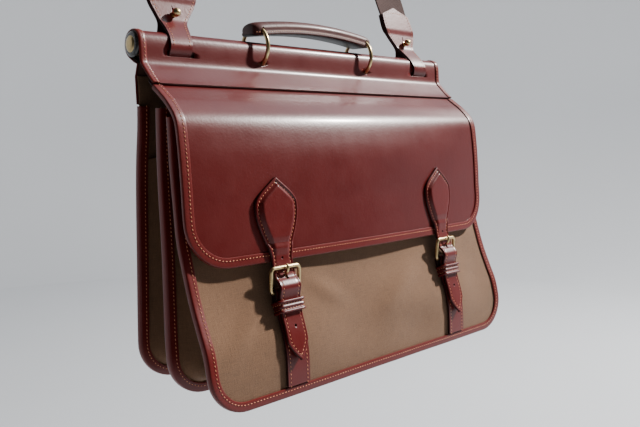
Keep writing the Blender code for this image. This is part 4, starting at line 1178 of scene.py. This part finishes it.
def build_gussets():
    back, middle = (BACK_SKIN, BACK_TOP), (MIDDLE_SKIN, MIDDLE_TOP)
    gusset("rear_gusset_cloth", "rear_gusset", back, middle, (0.3, 0.125))
    gusset("front_gusset_cloth", "front_gusset", middle, (FRONT_SKIN, FRONT_TOP), (0.125, 0.222))


# Handle

def ring_centre(side):
    return (side * RING_SPACING / 2, 0, RING_RISE)


def handle_outline():
    """The handle's section in shares of its half width and half thickness: sole, waist and round top."""
    waist = [(0.90, -0.93), (1.00, -0.80), (0.985, -0.50), (0.93, -0.30), (0.97, -0.10)]
    top = [(0.97 * math.cos(t) * (0.88 + 0.12 * abs(math.cos(t))), -0.10 + 1.10 * math.sin(t) ** 0.8)
           for t in np.radians(range(15, 180, 15))]
    return [(-0.90, -0.93), *waist, *top, *((-u, v) for u, v in reversed(waist[1:]))]


def build_handle():
    half = HANDLE_LENGTH / 2
    shape = handle_outline()
    stations, sections, places = [], [], []
    for share in (*np.linspace(-1, -0.86, 12), *np.linspace(-0.84, 0.84, 28 * DENSE), *np.linspace(0.86, 1, 12)):
        x = half * share
        to_end = min((half - abs(x)) / (HANDLE_WIDTH * 0.36), 1)
        curve = math.sqrt(max(1 - (1 - to_end) ** 2, 0))
        middle = RING_RISE + HANDLE_SEAT + HANDLE_ARCH * (1 - share * share)
        wide = HANDLE_WIDTH / 2 * (0.58 + 0.42 * curve)
        thick = HANDLE_THICKNESS / 2 * (0.62 + 0.38 * curve)
        stations.append((np.array([x, 0, middle]), np.array([0, 1.0, 0]), np.array([0, 0, 1.0])))
        sections.append([(u * wide, v * thick) for u, v in shape])
        if abs(share) < 0.985:
            places.append((x, wide * 0.985, middle - thick * 0.52))
    # The handle's sole takes the near-black finish, which is painted shade under the handle.
    thing = sweep("handle_leather", stations, sections, ("handle", "under"), slots=[1] + [0] * (len(shape) - 1))
    cutters = []
    for side, word in SIDES:
        ring = sweep(f"ring_{word}", ring_stations(ring_centre(side), RING_RADIUS, 72), circle(RING_WIRE, 16),
                     ("brass",), closed=True)
        settle(ring, (f"handle_ring_{word}",), body="carry_handle")
        # These cutters pass their near-black finish to the walls of the holes: painted shade inside the holes.
        cutters.append(sweep("eyelet", ring_stations(ring_centre(side), RING_RADIUS, 48),
                             circle(RING_WIRE + 1.5 * CLEARANCE, 12), ("under",), closed=True))
    cut(thing, cutters)
    settle(thing, ("handle",), body="carry_handle")
    lines = [[(np.array([x, side * y, z]), np.array([0, side, 0])) for x, y, z in places] for side in (-1, 1)]
    stitches("handle_stitches", lines, "carry_handle", pitch=0.85)


# Shoulder strap

LEAN_ANGLE = math.atan(STRAP_LEAN)
LEAF_FAR = WEBBING_THICKNESS / 2 + CLEARANCE + STRAP_END_LEATHER / 2
LEAF_NEAR = CLEARANCE / 2 + STRAP_END_LEATHER / 2
LEAF_JOIN = 0.32 * STRAP_END_LENGTH
TANGENT = math.acos(TAB_MIDDLE / math.hypot(LEAF_NEAR, LEAF_JOIN)) + math.atan2(LEAF_NEAR, LEAF_JOIN)


def leg_point(side, height, back=0.0, wide=0.0):
    """A place on a strap leg: height along it, back from its middle plane and sideways."""
    z = height * math.cos(LEAN_ANGLE) - back * math.sin(LEAN_ANGLE)
    y = height * math.sin(LEAN_ANGLE) + back * math.cos(LEAN_ANGLE)
    return np.array([side * strap_x(height * math.cos(LEAN_ANGLE)) + wide, y, z])


def leaf_back(height):
    """How far a leaf of the strap end stands from the leg's middle plane."""
    touch = TAB_MIDDLE * math.cos(TANGENT)
    if height < LEAF_JOIN:
        return float(np.interp(height, (touch, LEAF_JOIN), (TAB_MIDDLE * math.sin(TANGENT), LEAF_NEAR)))
    return LEAF_NEAR + (LEAF_FAR - LEAF_NEAR) * eased((height / STRAP_END_LENGTH - 0.55) / 0.095)


def strap_end_path():
    """Rows of height, distance back and half width, down the rear leaf, round the bar and up the front leaf,
    and how many rows a leaf has."""
    outline = smooth_points(STRAP_END_OUTLINE[:-1], 8)
    tip = np.array(STRAP_END_OUTLINE[-1])
    point = [outline[-1] * (1 - t) + tip * t for t in (0.08, 0.25, 0.5, 0.75, 0.92, 1)]
    leaf = [(share * STRAP_END_LENGTH, half * STRAP_END_WIDTH) for share, half in np.concatenate([outline, point])]
    path = [(height, leaf_back(height), half) for height, half in reversed(leaf)]
    first = next(k for k, row in enumerate(path) if row[0] < LEAF_JOIN + 0.012)
    path += [(TAB_MIDDLE * math.cos(t), TAB_MIDDLE * math.sin(t), TAB_WIDTH / 2)
             for t in np.linspace(TANGENT, 2 * math.pi - TANGENT, 30)]
    path += [(height, -leaf_back(height), half) for height, half in leaf]
    path = np.array(path)
    soften(path, first, len(leaf) + 5, 12)
    soften(path, len(path) - len(leaf) - 5, len(path) - first, 12)
    return path, len(leaf)


def build_strap_end(side, word):
    path, leaf = strap_end_path()
    columns = [sign * c for sign in (-1, 1) for c in STRAP_END_COLUMNS[::sign]]
    grid = np.array([[leg_point(side, height, back, half * c) for c in columns] for height, back, half in path])
    thing = wall(f"strap_end_leather_{word}", grid, STRAP_END_LEATHER, ("flesh", "strap leather", "edge"))
    facing = np.array([0, -math.cos(LEAN_ANGLE), math.sin(LEAN_ANGLE)])
    up = np.array([0, math.sin(LEAN_ANGLE), math.cos(LEAN_ANGLE)])
    plate, shank, neck, collar = (STUD_RADIUS * share for share in (0.25, 0.40, 0.48, 0.68))
    rear = leg_point(side, STUD_HEIGHT, LEAF_NEAR + STRAP_END_LEATHER / 2 + CLEARANCE + plate)
    through = plate + 2 * (LEAF_NEAR + STRAP_END_LEATHER / 2 + CLEARANCE)
    hole = turned("stud hole", [(0, shank + CLEARANCE), (1.8 * through, shank + CLEARANCE)], rear, facing,
                  ("edge",), 16)
    slit = slab("stud slit", leg_point(side, STUD_HEIGHT, -LEAF_NEAR), (np.array([1.0, 0, 0]), up, facing),
                ((-SLIT_HALF, SLIT_HALF), SLIT_SPAN, (-STRAP_END_LEATHER * 0.3, STRAP_END_LEATHER)))
    cut(thing, [hole, slit])
    settle(thing, (f"strap_end_{word}",))
    rim, rise = through + 0.8 * plate, through + 1.6 * plate
    ball = rise + STUD_RADIUS * 0.88
    profile = [(0, STUD_RADIUS * 0.9), (plate * 0.4, STUD_RADIUS), (plate, STUD_RADIUS * 0.97), (plate, shank),
               (through, shank), (through, collar), (rim, collar), (rim + 0.2 * plate, neck), (rise, neck)]
    profile += [(ball + STUD_RADIUS * math.cos(t), STUD_RADIUS * math.sin(t)) for t in np.radians(range(151, 5, -12))]
    settle(turned(f"ball_stud_{word}", profile, rear, facing, ("brass",), 28), (f"stud_{word}",))
    normals = grid_normals(grid)
    outer = grid - normals * STRAP_END_LEATHER / 2

    def edge_line(sign, low, high):
        line = []
        for k in range(low, high):
            half = path[k][2]
            if half >= 1.7 * LEAF_SEAM_INSET:
                j, t = column_at(columns, sign * (half - LEAF_SEAM_INSET) / half)
                line.append((outer[k, j] * (1 - t) + outer[k, j + 1] * t, -normals[k, j]))
        return line

    front, back = (leaf + 24, len(path) - 4), (3, leaf - 2)
    lines = [edge_line(-1, *front) + edge_line(1, *front)[::-1], edge_line(-1, *back), edge_line(1, *back)]
    stitches(f"strap_end_stitches_{word}", lines)


def build_webbing():
    rise = STRAP_RISE + WEBBING_THICKNESS / 2
    bend = (rise - STRAP_ARCH) / math.cos(LEAN_ANGLE)
    overlap = 1.04 * STRAP_END_LENGTH
    heights = [*np.linspace(0.67 * STRAP_END_LENGTH, overlap, 12), *np.linspace(overlap, bend, 50)[1:]]
    places = [leg_point(1, height) for height in heights]
    slope = unit((-STRAP_TAPER, STRAP_LEAN, 1))
    top = np.array([STRAP_TOP_FLAT / 2, STRAP_LEAN * STRAP_RISE, rise])
    reach = 0.56 * STRAP_ARCH
    a, b, c, d = places[-1], places[-1] + slope * reach, top + np.array([reach, 0, 0]), top
    places += [(1 - t)**3 * a + 3 * t * (1 - t)**2 * b + 3 * t * t * (1 - t) * c + t**3 * d
               for t in np.arange(1, 33) / 32]
    stations = []
    low = 1.2 * STRAP_END_LENGTH
    for k, place in enumerate(places):
        along = unit(places[k + 1] - places[k - 1]) if 0 < k < len(places) - 1 else slope
        if k == len(places) - 1:
            along = np.array([-1.0, 0, 0])
        twist = math.pi / 2 * eased((place[2] - low) / (0.80 * rise - low))
        back = unit(np.array([0, 1.0, 0]) - along * along[1])
        wide = unit(back * math.sin(twist) - np.cross(along, back) * math.cos(twist))
        if k < 12:
            wide = unit(np.array([1.0, 0, 0]) * (1 - k / 12) + wide * k / 12)
        stations.append((place, wide, np.cross(along, wide)))
    mirror = np.array([-1, 1, 1])
    mirrored = [(place * mirror, -wide * mirror, facing * mirror) for place, wide, facing in reversed(stations)]
    half, thick = WEBBING_WIDTH / 2, WEBBING_THICKNESS / 2
    corner, turned_corner = WEBBING_CORNER, WEBBING_CORNER[::-1]
    outline = [(-u, -v) for u, v in corner] + [(u, -v) for u, v in turned_corner]
    outline += [(u, v) for u, v in corner] + [(-u, v) for u, v in turned_corner]
    sections = [[(sign * half * u, thick * v) for u, v in outline] for sign in (1, -1) for _ in stations]
    settle(sweep("strap_webbing", stations + mirrored, sections, ("webbing",)), ("shoulder_webbing",))


def build_shoulder_strap():
    build_webbing()
    for side, word in SIDES:
        build_strap_end(side, word)


# Closure straps and buckles

BUCKLE_CORNER = 0.0035
LAYER = STRAP_LEATHER + CLEARANCE
LOWER_STRAP_OUT = CANVAS / 2 + 2 * CLEARANCE + STRAP_LEATHER / 2
BUCKLE_SPAN = BUCKLE_HEIGHT - 2 * BUCKLE_WIRE
LOW_BAR_DROP = BUCKLE_TOP_DROP + BUCKLE_SPAN * 0.98
LOW_BAR_OUT = CANVAS / 2 + LAYER + CLEARANCE + CLEARANCE + BUCKLE_WIRE
LOOP_RADIUS = BUCKLE_WIRE + CLEARANCE + STRAP_LEATHER / 2


def front_frame(side, drop, out=0.0):
    """Place, across, down and outward directions over the front panel where a closure strap runs."""
    x = side * CLOSURE_SPACING / 2
    place, across, down, outward = FRONT_SKIN.frame(x, FRONT_SKIN.run.distance_at_drop(drop))
    return place + outward * out, across, down, outward


def top_bar_out(side):
    """How far the buckle's upper bar stands over the front panel, in front of the closure strap."""
    place, across, down, outward = front_frame(side, BUCKLE_TOP_DROP)
    lift = FLAP_LEATHER / 2 + FLAP_TRIM_LEATHER + 2 * CLEARANCE + STRAP_LEATHER / 2
    strap = FLAP_SKIN.point(side * CLOSURE_SPACING / 2, FLAP_SKIN.run.length, lift)
    return float(np.dot(strap - place, outward)) + STRAP_LEATHER / 2 + CLEARANCE + BUCKLE_WIRE


def closure_path(side):
    """Rows of drop and middle height over the front panel, from the buckle's upper bar to the free tip."""
    over_top = top_bar_out(side) - BUCKLE_WIRE - CLEARANCE - STRAP_LEATHER / 2
    over_low = LOW_BAR_OUT + LOOP_RADIUS + LAYER
    double = LOWER_STRAP_OUT + 2 * LAYER
    single = LOWER_STRAP_OUT + LAYER + CLEARANCE
    low, end = LOW_BAR_DROP, CLOSURE_END_DROP
    keeper_top, keeper_foot = KEEPER_DROP - KEEPER_HEIGHT / 2, KEEPER_DROP + KEEPER_HEIGHT / 2
    return [(BUCKLE_TOP_DROP, over_top), (BUCKLE_TOP_DROP + 0.4 * BUCKLE_SPAN, over_top * 0.45 + over_low * 0.55),
            (low - 0.0072, over_low + 0.0022), (low - 0.0014, over_low + 0.0030), (keeper_top, double + 0.0016),
            (keeper_foot, double - 0.0012), (keeper_foot + 0.0070, single + CLEARANCE), (end - 0.0200, single),
            (end - 0.0090, single + 0.0006), (end - 0.0040, single + 0.0016), (end, single + 0.0026)]


def edge_drop(inside):
    """The softly rounded edge of a strap's face, at a distance inside its outline."""
    return -EDGE_FALL * max(1 - inside / EDGE_ROUND, 0) ** 2


def groove(inside, at, wide):
    """From 0 to 1 and back, across a line that runs at a distance inside the outline."""
    return math.exp(-((inside - at) / wide) ** 2)


def pad_height(inside, share):
    """Rise of a paddle's face at a distance inside its outline: rim, stitched channel, then the raised pad."""
    line = 0.00035 * groove(inside, 0.0013, 0.0007) - 0.00070 * groove(inside, 0.0031, 0.0009)
    fade = min(share / 0.06, 1) * clamp((0.98 - share) / 0.24)
    pad = PADDLE_PAD * 1.75 * eased((inside - 0.0040) / 0.0026) * fade
    return edge_drop(inside) + min(share / 0.02, 1) * line + pad


def inside_line(rims, inset):
    """For each row of an outline, how far out a line runs that keeps an even distance inside it; None beyond it."""
    found = []
    for mark, half in rims:
        tries = np.linspace(half, 0, 60)
        gaps = np.array([np.linalg.norm(rims - (mark, w), axis=1).min() for w in tries])
        ok = np.nonzero((gaps >= inset) & (half - tries >= inset * 0.98))[0]
        found.append(tries[ok[0]] if len(ok) else None)
    return found


def tail_height(inside):
    return edge_drop(inside) - 0.0003 * groove(inside, 0.0026, 0.0007)


def paddle_rows(side, columns):
    """Rows of the strap over the flap, from its pointed head to the flap's foot, and half widths."""
    skin, x = FLAP_SKIN, side * CLOSURE_SPACING / 2
    start, end = skin.run.distance_at_drop(PADDLE_TIP_DROP), skin.run.length
    outline = smooth_points(PADDLE_OUTLINE, 6)
    rows, halves = [], []
    for share in (*np.linspace(0, 0.30, 26 * DENSE)[:-1], *np.linspace(0.30, 1.0, 30 * DENSE), 1.02, 1.045):
        distance = min(start + share * PADDLE_LENGTH, end)
        half = PADDLE_WIDTH * float(np.interp(share, outline[:, 0], outline[:, 1]))
        over = clamp((distance - (end - FLAP_TRIM_FACE - 0.007)) / 0.004)
        lift = FLAP_LEATHER / 2 + CLEARANCE + STRAP_LEATHER / 2 + (FLAP_TRIM_LEATHER + CLEARANCE) * over
        rows.append([skin.point(x + half * c, distance, lift) for c in columns])
        halves.append(half)
        if distance >= end:
            break
    return rows, halves


def tail_rows(side, columns):
    """Rows of the strap from the buckle's upper bar to its free tip, and half widths."""
    rows, halves = [], []
    for drop, out in smooth_points(closure_path(side), 4 * DENSE):
        place, across, down, outward = front_frame(side, drop, out)
        near_end = (CLOSURE_END_DROP - drop) / (0.62 * CLOSURE_WIDTH)
        half = CLOSURE_WIDTH / 2 * min(max(near_end, 0.05) ** 0.72, 1)
        rows.append([place + across * half * c for c in columns])
        halves.append(half)
    return rows, halves


def closure_cutters(side):
    """The hole for the prong, the one over the flap's foot and the one in the free tail."""
    place, across, down, outward = front_frame(side, BUCKLE_TOP_DROP + 0.42 * BUCKLE_SPAN)
    beside, along = PRONG_WIRE + CLEARANCE, 0.19 * BUCKLE_SPAN
    cutters = [slab("prong hole", place, (across, down, outward),
                    ((-beside, beside), (-along, along * 0.45), (2 * STRAP_LEATHER, 7 * STRAP_LEATHER)))]
    over_flap = FLAP_SKIN.frame(side * CLOSURE_SPACING / 2, FLAP_SKIN.run.distance_at_drop(FLAP_DROP - FLAP_HOLE_INSET))
    in_tail = front_frame(side, KEEPER_DROP + TAIL_HOLE_GAP)
    flap_lift = FLAP_LEATHER / 2 + FLAP_TRIM_LEATHER + 2 * CLEARANCE + FLAP_HOLE_RADIUS
    for (place, across, down, outward), lift, radius, depth in (
            (over_flap, flap_lift, FLAP_HOLE_RADIUS, 0.01),
            (in_tail, LOWER_STRAP_OUT + 0.0014, TAIL_HOLE_RADIUS, 0.02)):
        cutters.append(turned("strap hole", [(0, radius), (depth, radius)], place + outward * lift, outward,
                              ("edge",), 20))
    return cutters


def closure_strap(side, word):
    columns = np.sin(np.linspace(-math.pi / 2, math.pi / 2, 18 * DENSE + 1))
    paddle, paddle_halves = paddle_rows(side, columns)
    tail, tail_halves = tail_rows(side, columns)
    grid = np.array(paddle + tail)
    marks = running_marks(grid[:, len(columns) // 2])
    halves = np.array(paddle_halves + tail_halves)
    rims = np.stack([marks, halves], axis=1)
    front = np.full(grid.shape[:2], STRAP_LEATHER / 2)
    for i, (mark, half) in enumerate(rims):
        for j, c in enumerate(columns):
            inside = min(np.linalg.norm(rims - (mark, abs(c) * half), axis=1).min(), half * (1 - abs(c)))
            front[i, j] += pad_height(inside, mark / PADDLE_LENGTH) if i < len(paddle) else tail_height(inside)
    thing = wall(f"closure_leather_{word}", grid, STRAP_LEATHER, ("strap leather", "flesh", "edge"), front)
    cut(thing, closure_cutters(side))
    settle(thing, (f"closure_strap_{word}",))
    normals = grid_normals(grid)
    face = grid + normals * front[..., None]
    left, right = [], []
    for row, reach in enumerate(inside_line(rims, STRAP_SEAM_INSET)):
        if reach is None or reach < 0.0004:
            continue
        for sign, line in ((-1, left), (1, right)):
            low, t = column_at(columns, sign * reach / halves[row])
            line.append([sheet[row, low] * (1 - t) + sheet[row, low + 1] * t for sheet in (face, normals)])
    stitches(f"closure_stitches_{word}", [left[::-1] + right])


def bar_turns(radius, degrees):
    """Drop and height of points round the buckle's lower bar."""
    return [(LOW_BAR_DROP - radius * math.sin(t), LOW_BAR_OUT + radius * math.cos(t)) for t in np.radians(degrees)]


def lower_strap(side, word):
    base = LOWER_STRAP_OUT
    path = [(LOW_BAR_DROP + 0.0115, base), (LOW_BAR_DROP + 0.0010, base), *bar_turns(LOOP_RADIUS, range(170, -31, -10))]
    foot = BODY_DROP - PANEL_INSET - BINDING_FACE - 4 * CLEARANCE
    double = base + LAYER
    tail = [path[-1], (LOW_BAR_DROP + 0.0075, double + 0.0012), (LOW_BAR_DROP + 0.0125, double + 0.0002),
            *((drop, base) for drop in np.linspace(KEEPER_DROP + KEEPER_HEIGHT * 0.75, foot, 5))]
    seam = LOWER_WIDTH / 2 - STRAP_SEAM_INSET
    rows, lines = [], ([], [])
    for drop, out in (*path[:-1], *smooth_points(tail, 4)):
        place, across, down, outward = front_frame(side, drop, out)
        rows.append([place + across * LOWER_WIDTH / 2 * c for c in np.linspace(-1, 1, 5)])
        if drop > KEEPER_DROP + KEEPER_HEIGHT and len(rows) > 20:
            for sign, line in zip((-1, 1), lines):
                line.append((place + across * sign * seam + outward * STRAP_LEATHER / 2, outward))
    thing = wall(f"lower_leather_{word}", rows, STRAP_LEATHER, ("strap leather", "flesh", "edge"))
    place, across, down, outward = front_frame(side, LOW_BAR_DROP)
    beside, along = PRONG_WIRE + 2 * CLEARANCE, 2 * STRAP_LEATHER
    cut(thing, [slab("prong slot", place, (across, down, outward),
                     ((-beside, beside), (-along, along), (-along, 3 * along)))])
    settle(thing, (f"lower_strap_{word}",))
    stitches(f"lower_stitches_{word}", lines)


def buckle(side, word):
    top, across, down, outward = front_frame(side, BUCKLE_TOP_DROP, top_bar_out(side))
    low = front_frame(side, LOW_BAR_DROP, LOW_BAR_OUT)[0]
    along = unit(low - top)
    middle, facing = (top + low) / 2, unit(np.cross(along, across))
    high, wide = np.linalg.norm(low - top) / 2 - BUCKLE_CORNER, BUCKLE_WIDTH / 2 - BUCKLE_WIRE - BUCKLE_CORNER
    stations = []
    for corner, (sx, sy) in enumerate(((1, -1), (1, 1), (-1, 1), (-1, -1))):
        for turn in np.radians(np.arange(0, 91, 10) - 90 + 90 * corner):
            direction = across * math.cos(turn) + along * math.sin(turn)
            place = middle + across * sx * wide + along * sy * high + direction * BUCKLE_CORNER
            stations.append((place, direction, facing))
    thing = sweep(f"brass_buckle_{word}", stations, circle(BUCKLE_WIRE, 18), ("brass",), closed=True)
    settle(thing, (f"buckle_{word}",))


def prong(side, word):
    reach = BUCKLE_WIRE + CLEARANCE + PRONG_WIRE
    path = bar_turns(reach, range(20, -206, -15))
    tip_out = top_bar_out(side) + reach
    tail = [path[-1]] + [(BUCKLE_TOP_DROP + share * BUCKLE_SPAN, out) for share, out in (
        (0.40, 0.55 * tip_out + 0.0004), (0.20, 0.93 * tip_out), (0.02, tip_out + CLEARANCE), (-0.10, tip_out))]
    places = [front_frame(side, drop, out) for drop, out in (*path[:-1], *smooth_points(tail, 4))]
    stations = []
    for k, (place, across, down, outward) in enumerate(places):
        along = unit(places[min(k + 1, len(places) - 1)][0] - places[max(k - 1, 0)][0])
        stations.append((place, across, unit(np.cross(along, across))))
    shares = [1.0] * (len(places) - 3) + [0.95, 0.8, 0.45]
    sections = [circle(PRONG_WIRE * share, 12) for share in shares]
    settle(sweep(f"brass_prong_{word}", stations, sections, ("brass",)), (f"buckle_prong_{word}",))


def keeper(side, word):
    heights = dict(closure_path(side))
    inner, foot, half = CLOSURE_WIDTH / 2 + 2 * CLEARANCE, CANVAS / 2 + CLEARANCE, KEEPER_HEIGHT / 2
    bend = KEEPER_LEATHER * 0.7
    rails = []
    for drop in (KEEPER_DROP - half, KEEPER_DROP + half):
        place, across, down, outward = front_frame(side, drop)
        roof = heights[drop] + STRAP_LEATHER / 2 + 2 * CLEARANCE
        post = [(-inner, foot), (-inner, roof * 0.5), (-inner, roof - bend)]
        post += [(-inner + bend - bend * math.cos(t), roof - bend + bend * math.sin(t))
                 for t in np.linspace(0.2, math.pi / 2 - 0.2, 5)]
        rail = post + [(w, roof) for w in np.linspace(-inner + bend, inner - bend, 11)]
        rail += [(-w, h) for w, h in reversed(post)]
        rails.append([place + across * w + outward * h for w, h in rail])
    rails = np.array(rails)
    middle = rails.mean(axis=0)
    stations, lines = [], ([], [])
    for place, way, along in zip(middle, rails[1] - rails[0], np.gradient(middle, axis=0)):
        down = unit(way)
        out = unit(np.cross(down, along))
        stations.append((place, down, out))
        for sign, line in zip((-1, 1), lines):
            line.append((place + down * sign * half * KEEPER_SEAM_SHARE + out * KEEPER_SEAM_OUT, out))
    section = [(-half * u, v) for u, v in KEEPER_ROLLS] + [(0.0, 0.0023)]
    section += [(half * u, v) for u, v in reversed(KEEPER_ROLLS)]
    settle(sweep(f"keeper_leather_{word}", stations, section, ("strap leather",)), (f"keeper_{word}",))
    stitches(f"keeper_stitches_{word}", lines, pitch=0.9)


def build_closures():
    for side, word in SIDES:
        for build in (closure_strap, lower_strap, buckle, prong, keeper):
            build(side, word)


# Stage

STUDIO_RADIUS = 3.4
COVE = 0.8
SURROUNDINGS = 0.045
BACKDROP_TURNS = (-42, 150)
BACKDROP_THICKNESS = 0.004
BACKDROP_SINK = 0.003
# Name, place from the bar axis, aim, size, power and colour
LAMPS = (
    ("key", (2.15, -1.05, 1.85), (0, 0, -0.12), 0.20, 300, (1.0, 0.97, 0.92)),
    ("sky", (1.3, -0.2, 1.9), (0, 0, -0.05), 2.4, 26, (0.90, 0.94, 1.0)),
)


def lamp(name, place, aim, size, power, colour):
    light = bpy.data.lights.new(name, "AREA")
    light.shape, light.size, light.energy, light.color = "DISK", size, power, colour
    thing = link(name, light)
    thing.location = BAR_AXIS + np.array(place)
    direction = mathutils.Vector(np.array(aim, float) - np.array(place, float))
    thing.rotation_euler = direction.to_track_quat("-Z", "Y").to_euler()


def build_stage():
    centre = np.array([0, 0, -sizes().floor_drop - BAR_AXIS[2]])
    floor = turned("floor", [(-0.03, STUDIO_RADIUS), (0, STUDIO_RADIUS)], centre, (0, 0, 1), ("stage",), 96)
    profile = [(STUDIO_RADIUS - COVE + COVE * math.sin(t), COVE - COVE * math.cos(t))
               for t in np.linspace(0.02, math.pi / 2, 14)] + [(STUDIO_RADIUS, 2.0), (STUDIO_RADIUS, 4.2)]
    rows = [[centre + (reach * math.cos(turn), reach * math.sin(turn), rise - BACKDROP_SINK)
             for reach, rise in profile] for turn in np.radians(np.linspace(*BACKDROP_TURNS, 60))]
    backdrop = wall("backdrop", rows, BACKDROP_THICKNESS, ("stage",) * 3)
    world = bpy.data.worlds.new("pale surroundings")
    world.use_nodes = True
    sky = next(n for n in world.node_tree.nodes if n.type == "BACKGROUND")
    sky.inputs["Color"].default_value = shaded(colours().backdrop, SURROUNDINGS)
    sky.inputs["Strength"].default_value = 1.0
    bpy.context.scene.world = world
    for row in LAMPS:
        lamp(*row)
    view = bpy.data.cameras.new("photo view")
    view.lens, view.sensor_width = CAMERA_LENS, SENSOR_WIDTH
    camera = link("photo view", view)
    camera.location = BAR_AXIS + np.array(CAMERA_PLACE)
    camera.rotation_euler = (math.radians(90 + CAMERA_PITCH), 0, -math.radians(CAMERA_YAW))
    bpy.context.scene.camera = camera


# Add-on

class SatchelOperator:
    bl_options = {"REGISTER", "UNDO"}

    def execute(self, context):
        self.build()
        return {"FINISHED"}


class BuildBar(SatchelOperator, bpy.types.Operator):
    """Leather wrap of the top bar, its end strips and the caps"""
    bl_idname = "satchel.bar"
    bl_label = "Top bar"
    build = staticmethod(build_bar)


class BuildFlap(SatchelOperator, bpy.types.Operator):
    """Flap and its edge strip"""
    bl_idname = "satchel.flap"
    bl_label = "Flap"
    build = staticmethod(build_flap)


class BuildPanels(SatchelOperator, bpy.types.Operator):
    """Canvas panels and their edge strips"""
    bl_idname = "satchel.panels"
    bl_label = "Panels"
    build = staticmethod(build_panels)


class BuildGussets(SatchelOperator, bpy.types.Operator):
    """Folded canvas between the panels"""
    bl_idname = "satchel.gussets"
    bl_label = "Gussets"
    build = staticmethod(build_gussets)


class BuildHandle(SatchelOperator, bpy.types.Operator):
    """Padded handle and its rings"""
    bl_idname = "satchel.handle"
    bl_label = "Handle"
    build = staticmethod(build_handle)


class BuildShoulderStrap(SatchelOperator, bpy.types.Operator):
    """Webbing, its leather ends and their studs"""
    bl_idname = "satchel.shoulder_strap"
    bl_label = "Shoulder strap"
    build = staticmethod(build_shoulder_strap)


class BuildClosures(SatchelOperator, bpy.types.Operator):
    """Closure straps with their buckles and keepers"""
    bl_idname = "satchel.closures"
    bl_label = "Closures"
    build = staticmethod(build_closures)


class BuildStage(SatchelOperator, bpy.types.Operator):
    """Floor, surroundings, lights and camera"""
    bl_idname = "satchel.stage"
    bl_label = "Stage"
    build = staticmethod(build_stage)


STEPS = (BuildBar, BuildFlap, BuildPanels, BuildGussets, BuildHandle, BuildShoulderStrap, BuildClosures, BuildStage)


class SatchelPanel(bpy.types.Panel):
    """Sizes, colours and one button for each group of pieces"""
    bl_idname = "VIEW3D_PT_satchel"
    bl_label = "Satchel"
    bl_space_type = "VIEW_3D"
    bl_region_type = "UI"
    bl_category = "Satchel"

    def draw(self, context):
        column = self.layout.column()
        for group in (sizes(), colours()):
            for name in group.__annotations__:
                column.prop(group, name)
        for step in STEPS:
            column.operator(step.bl_idname)


CLASSES = (SatchelSizes, SatchelColours, *STEPS, SatchelPanel)


def register():
    for one in CLASSES:
        bpy.utils.register_class(one)
    bpy.types.Scene.satchel_sizes = PointerProperty(type=SatchelSizes)
    bpy.types.Scene.satchel_colours = PointerProperty(type=SatchelColours)


def unregister():
    del bpy.types.Scene.satchel_colours
    del bpy.types.Scene.satchel_sizes
    for one in reversed(CLASSES):
        bpy.utils.unregister_class(one)


def main():
    register()
    for step in STEPS:
        done = getattr(bpy.ops.satchel, step.bl_idname.split(".")[1])()
        if done != {"FINISHED"}:
            raise RuntimeError(f"{step.bl_label} was not built")


if __name__ == "__main__":
    main()
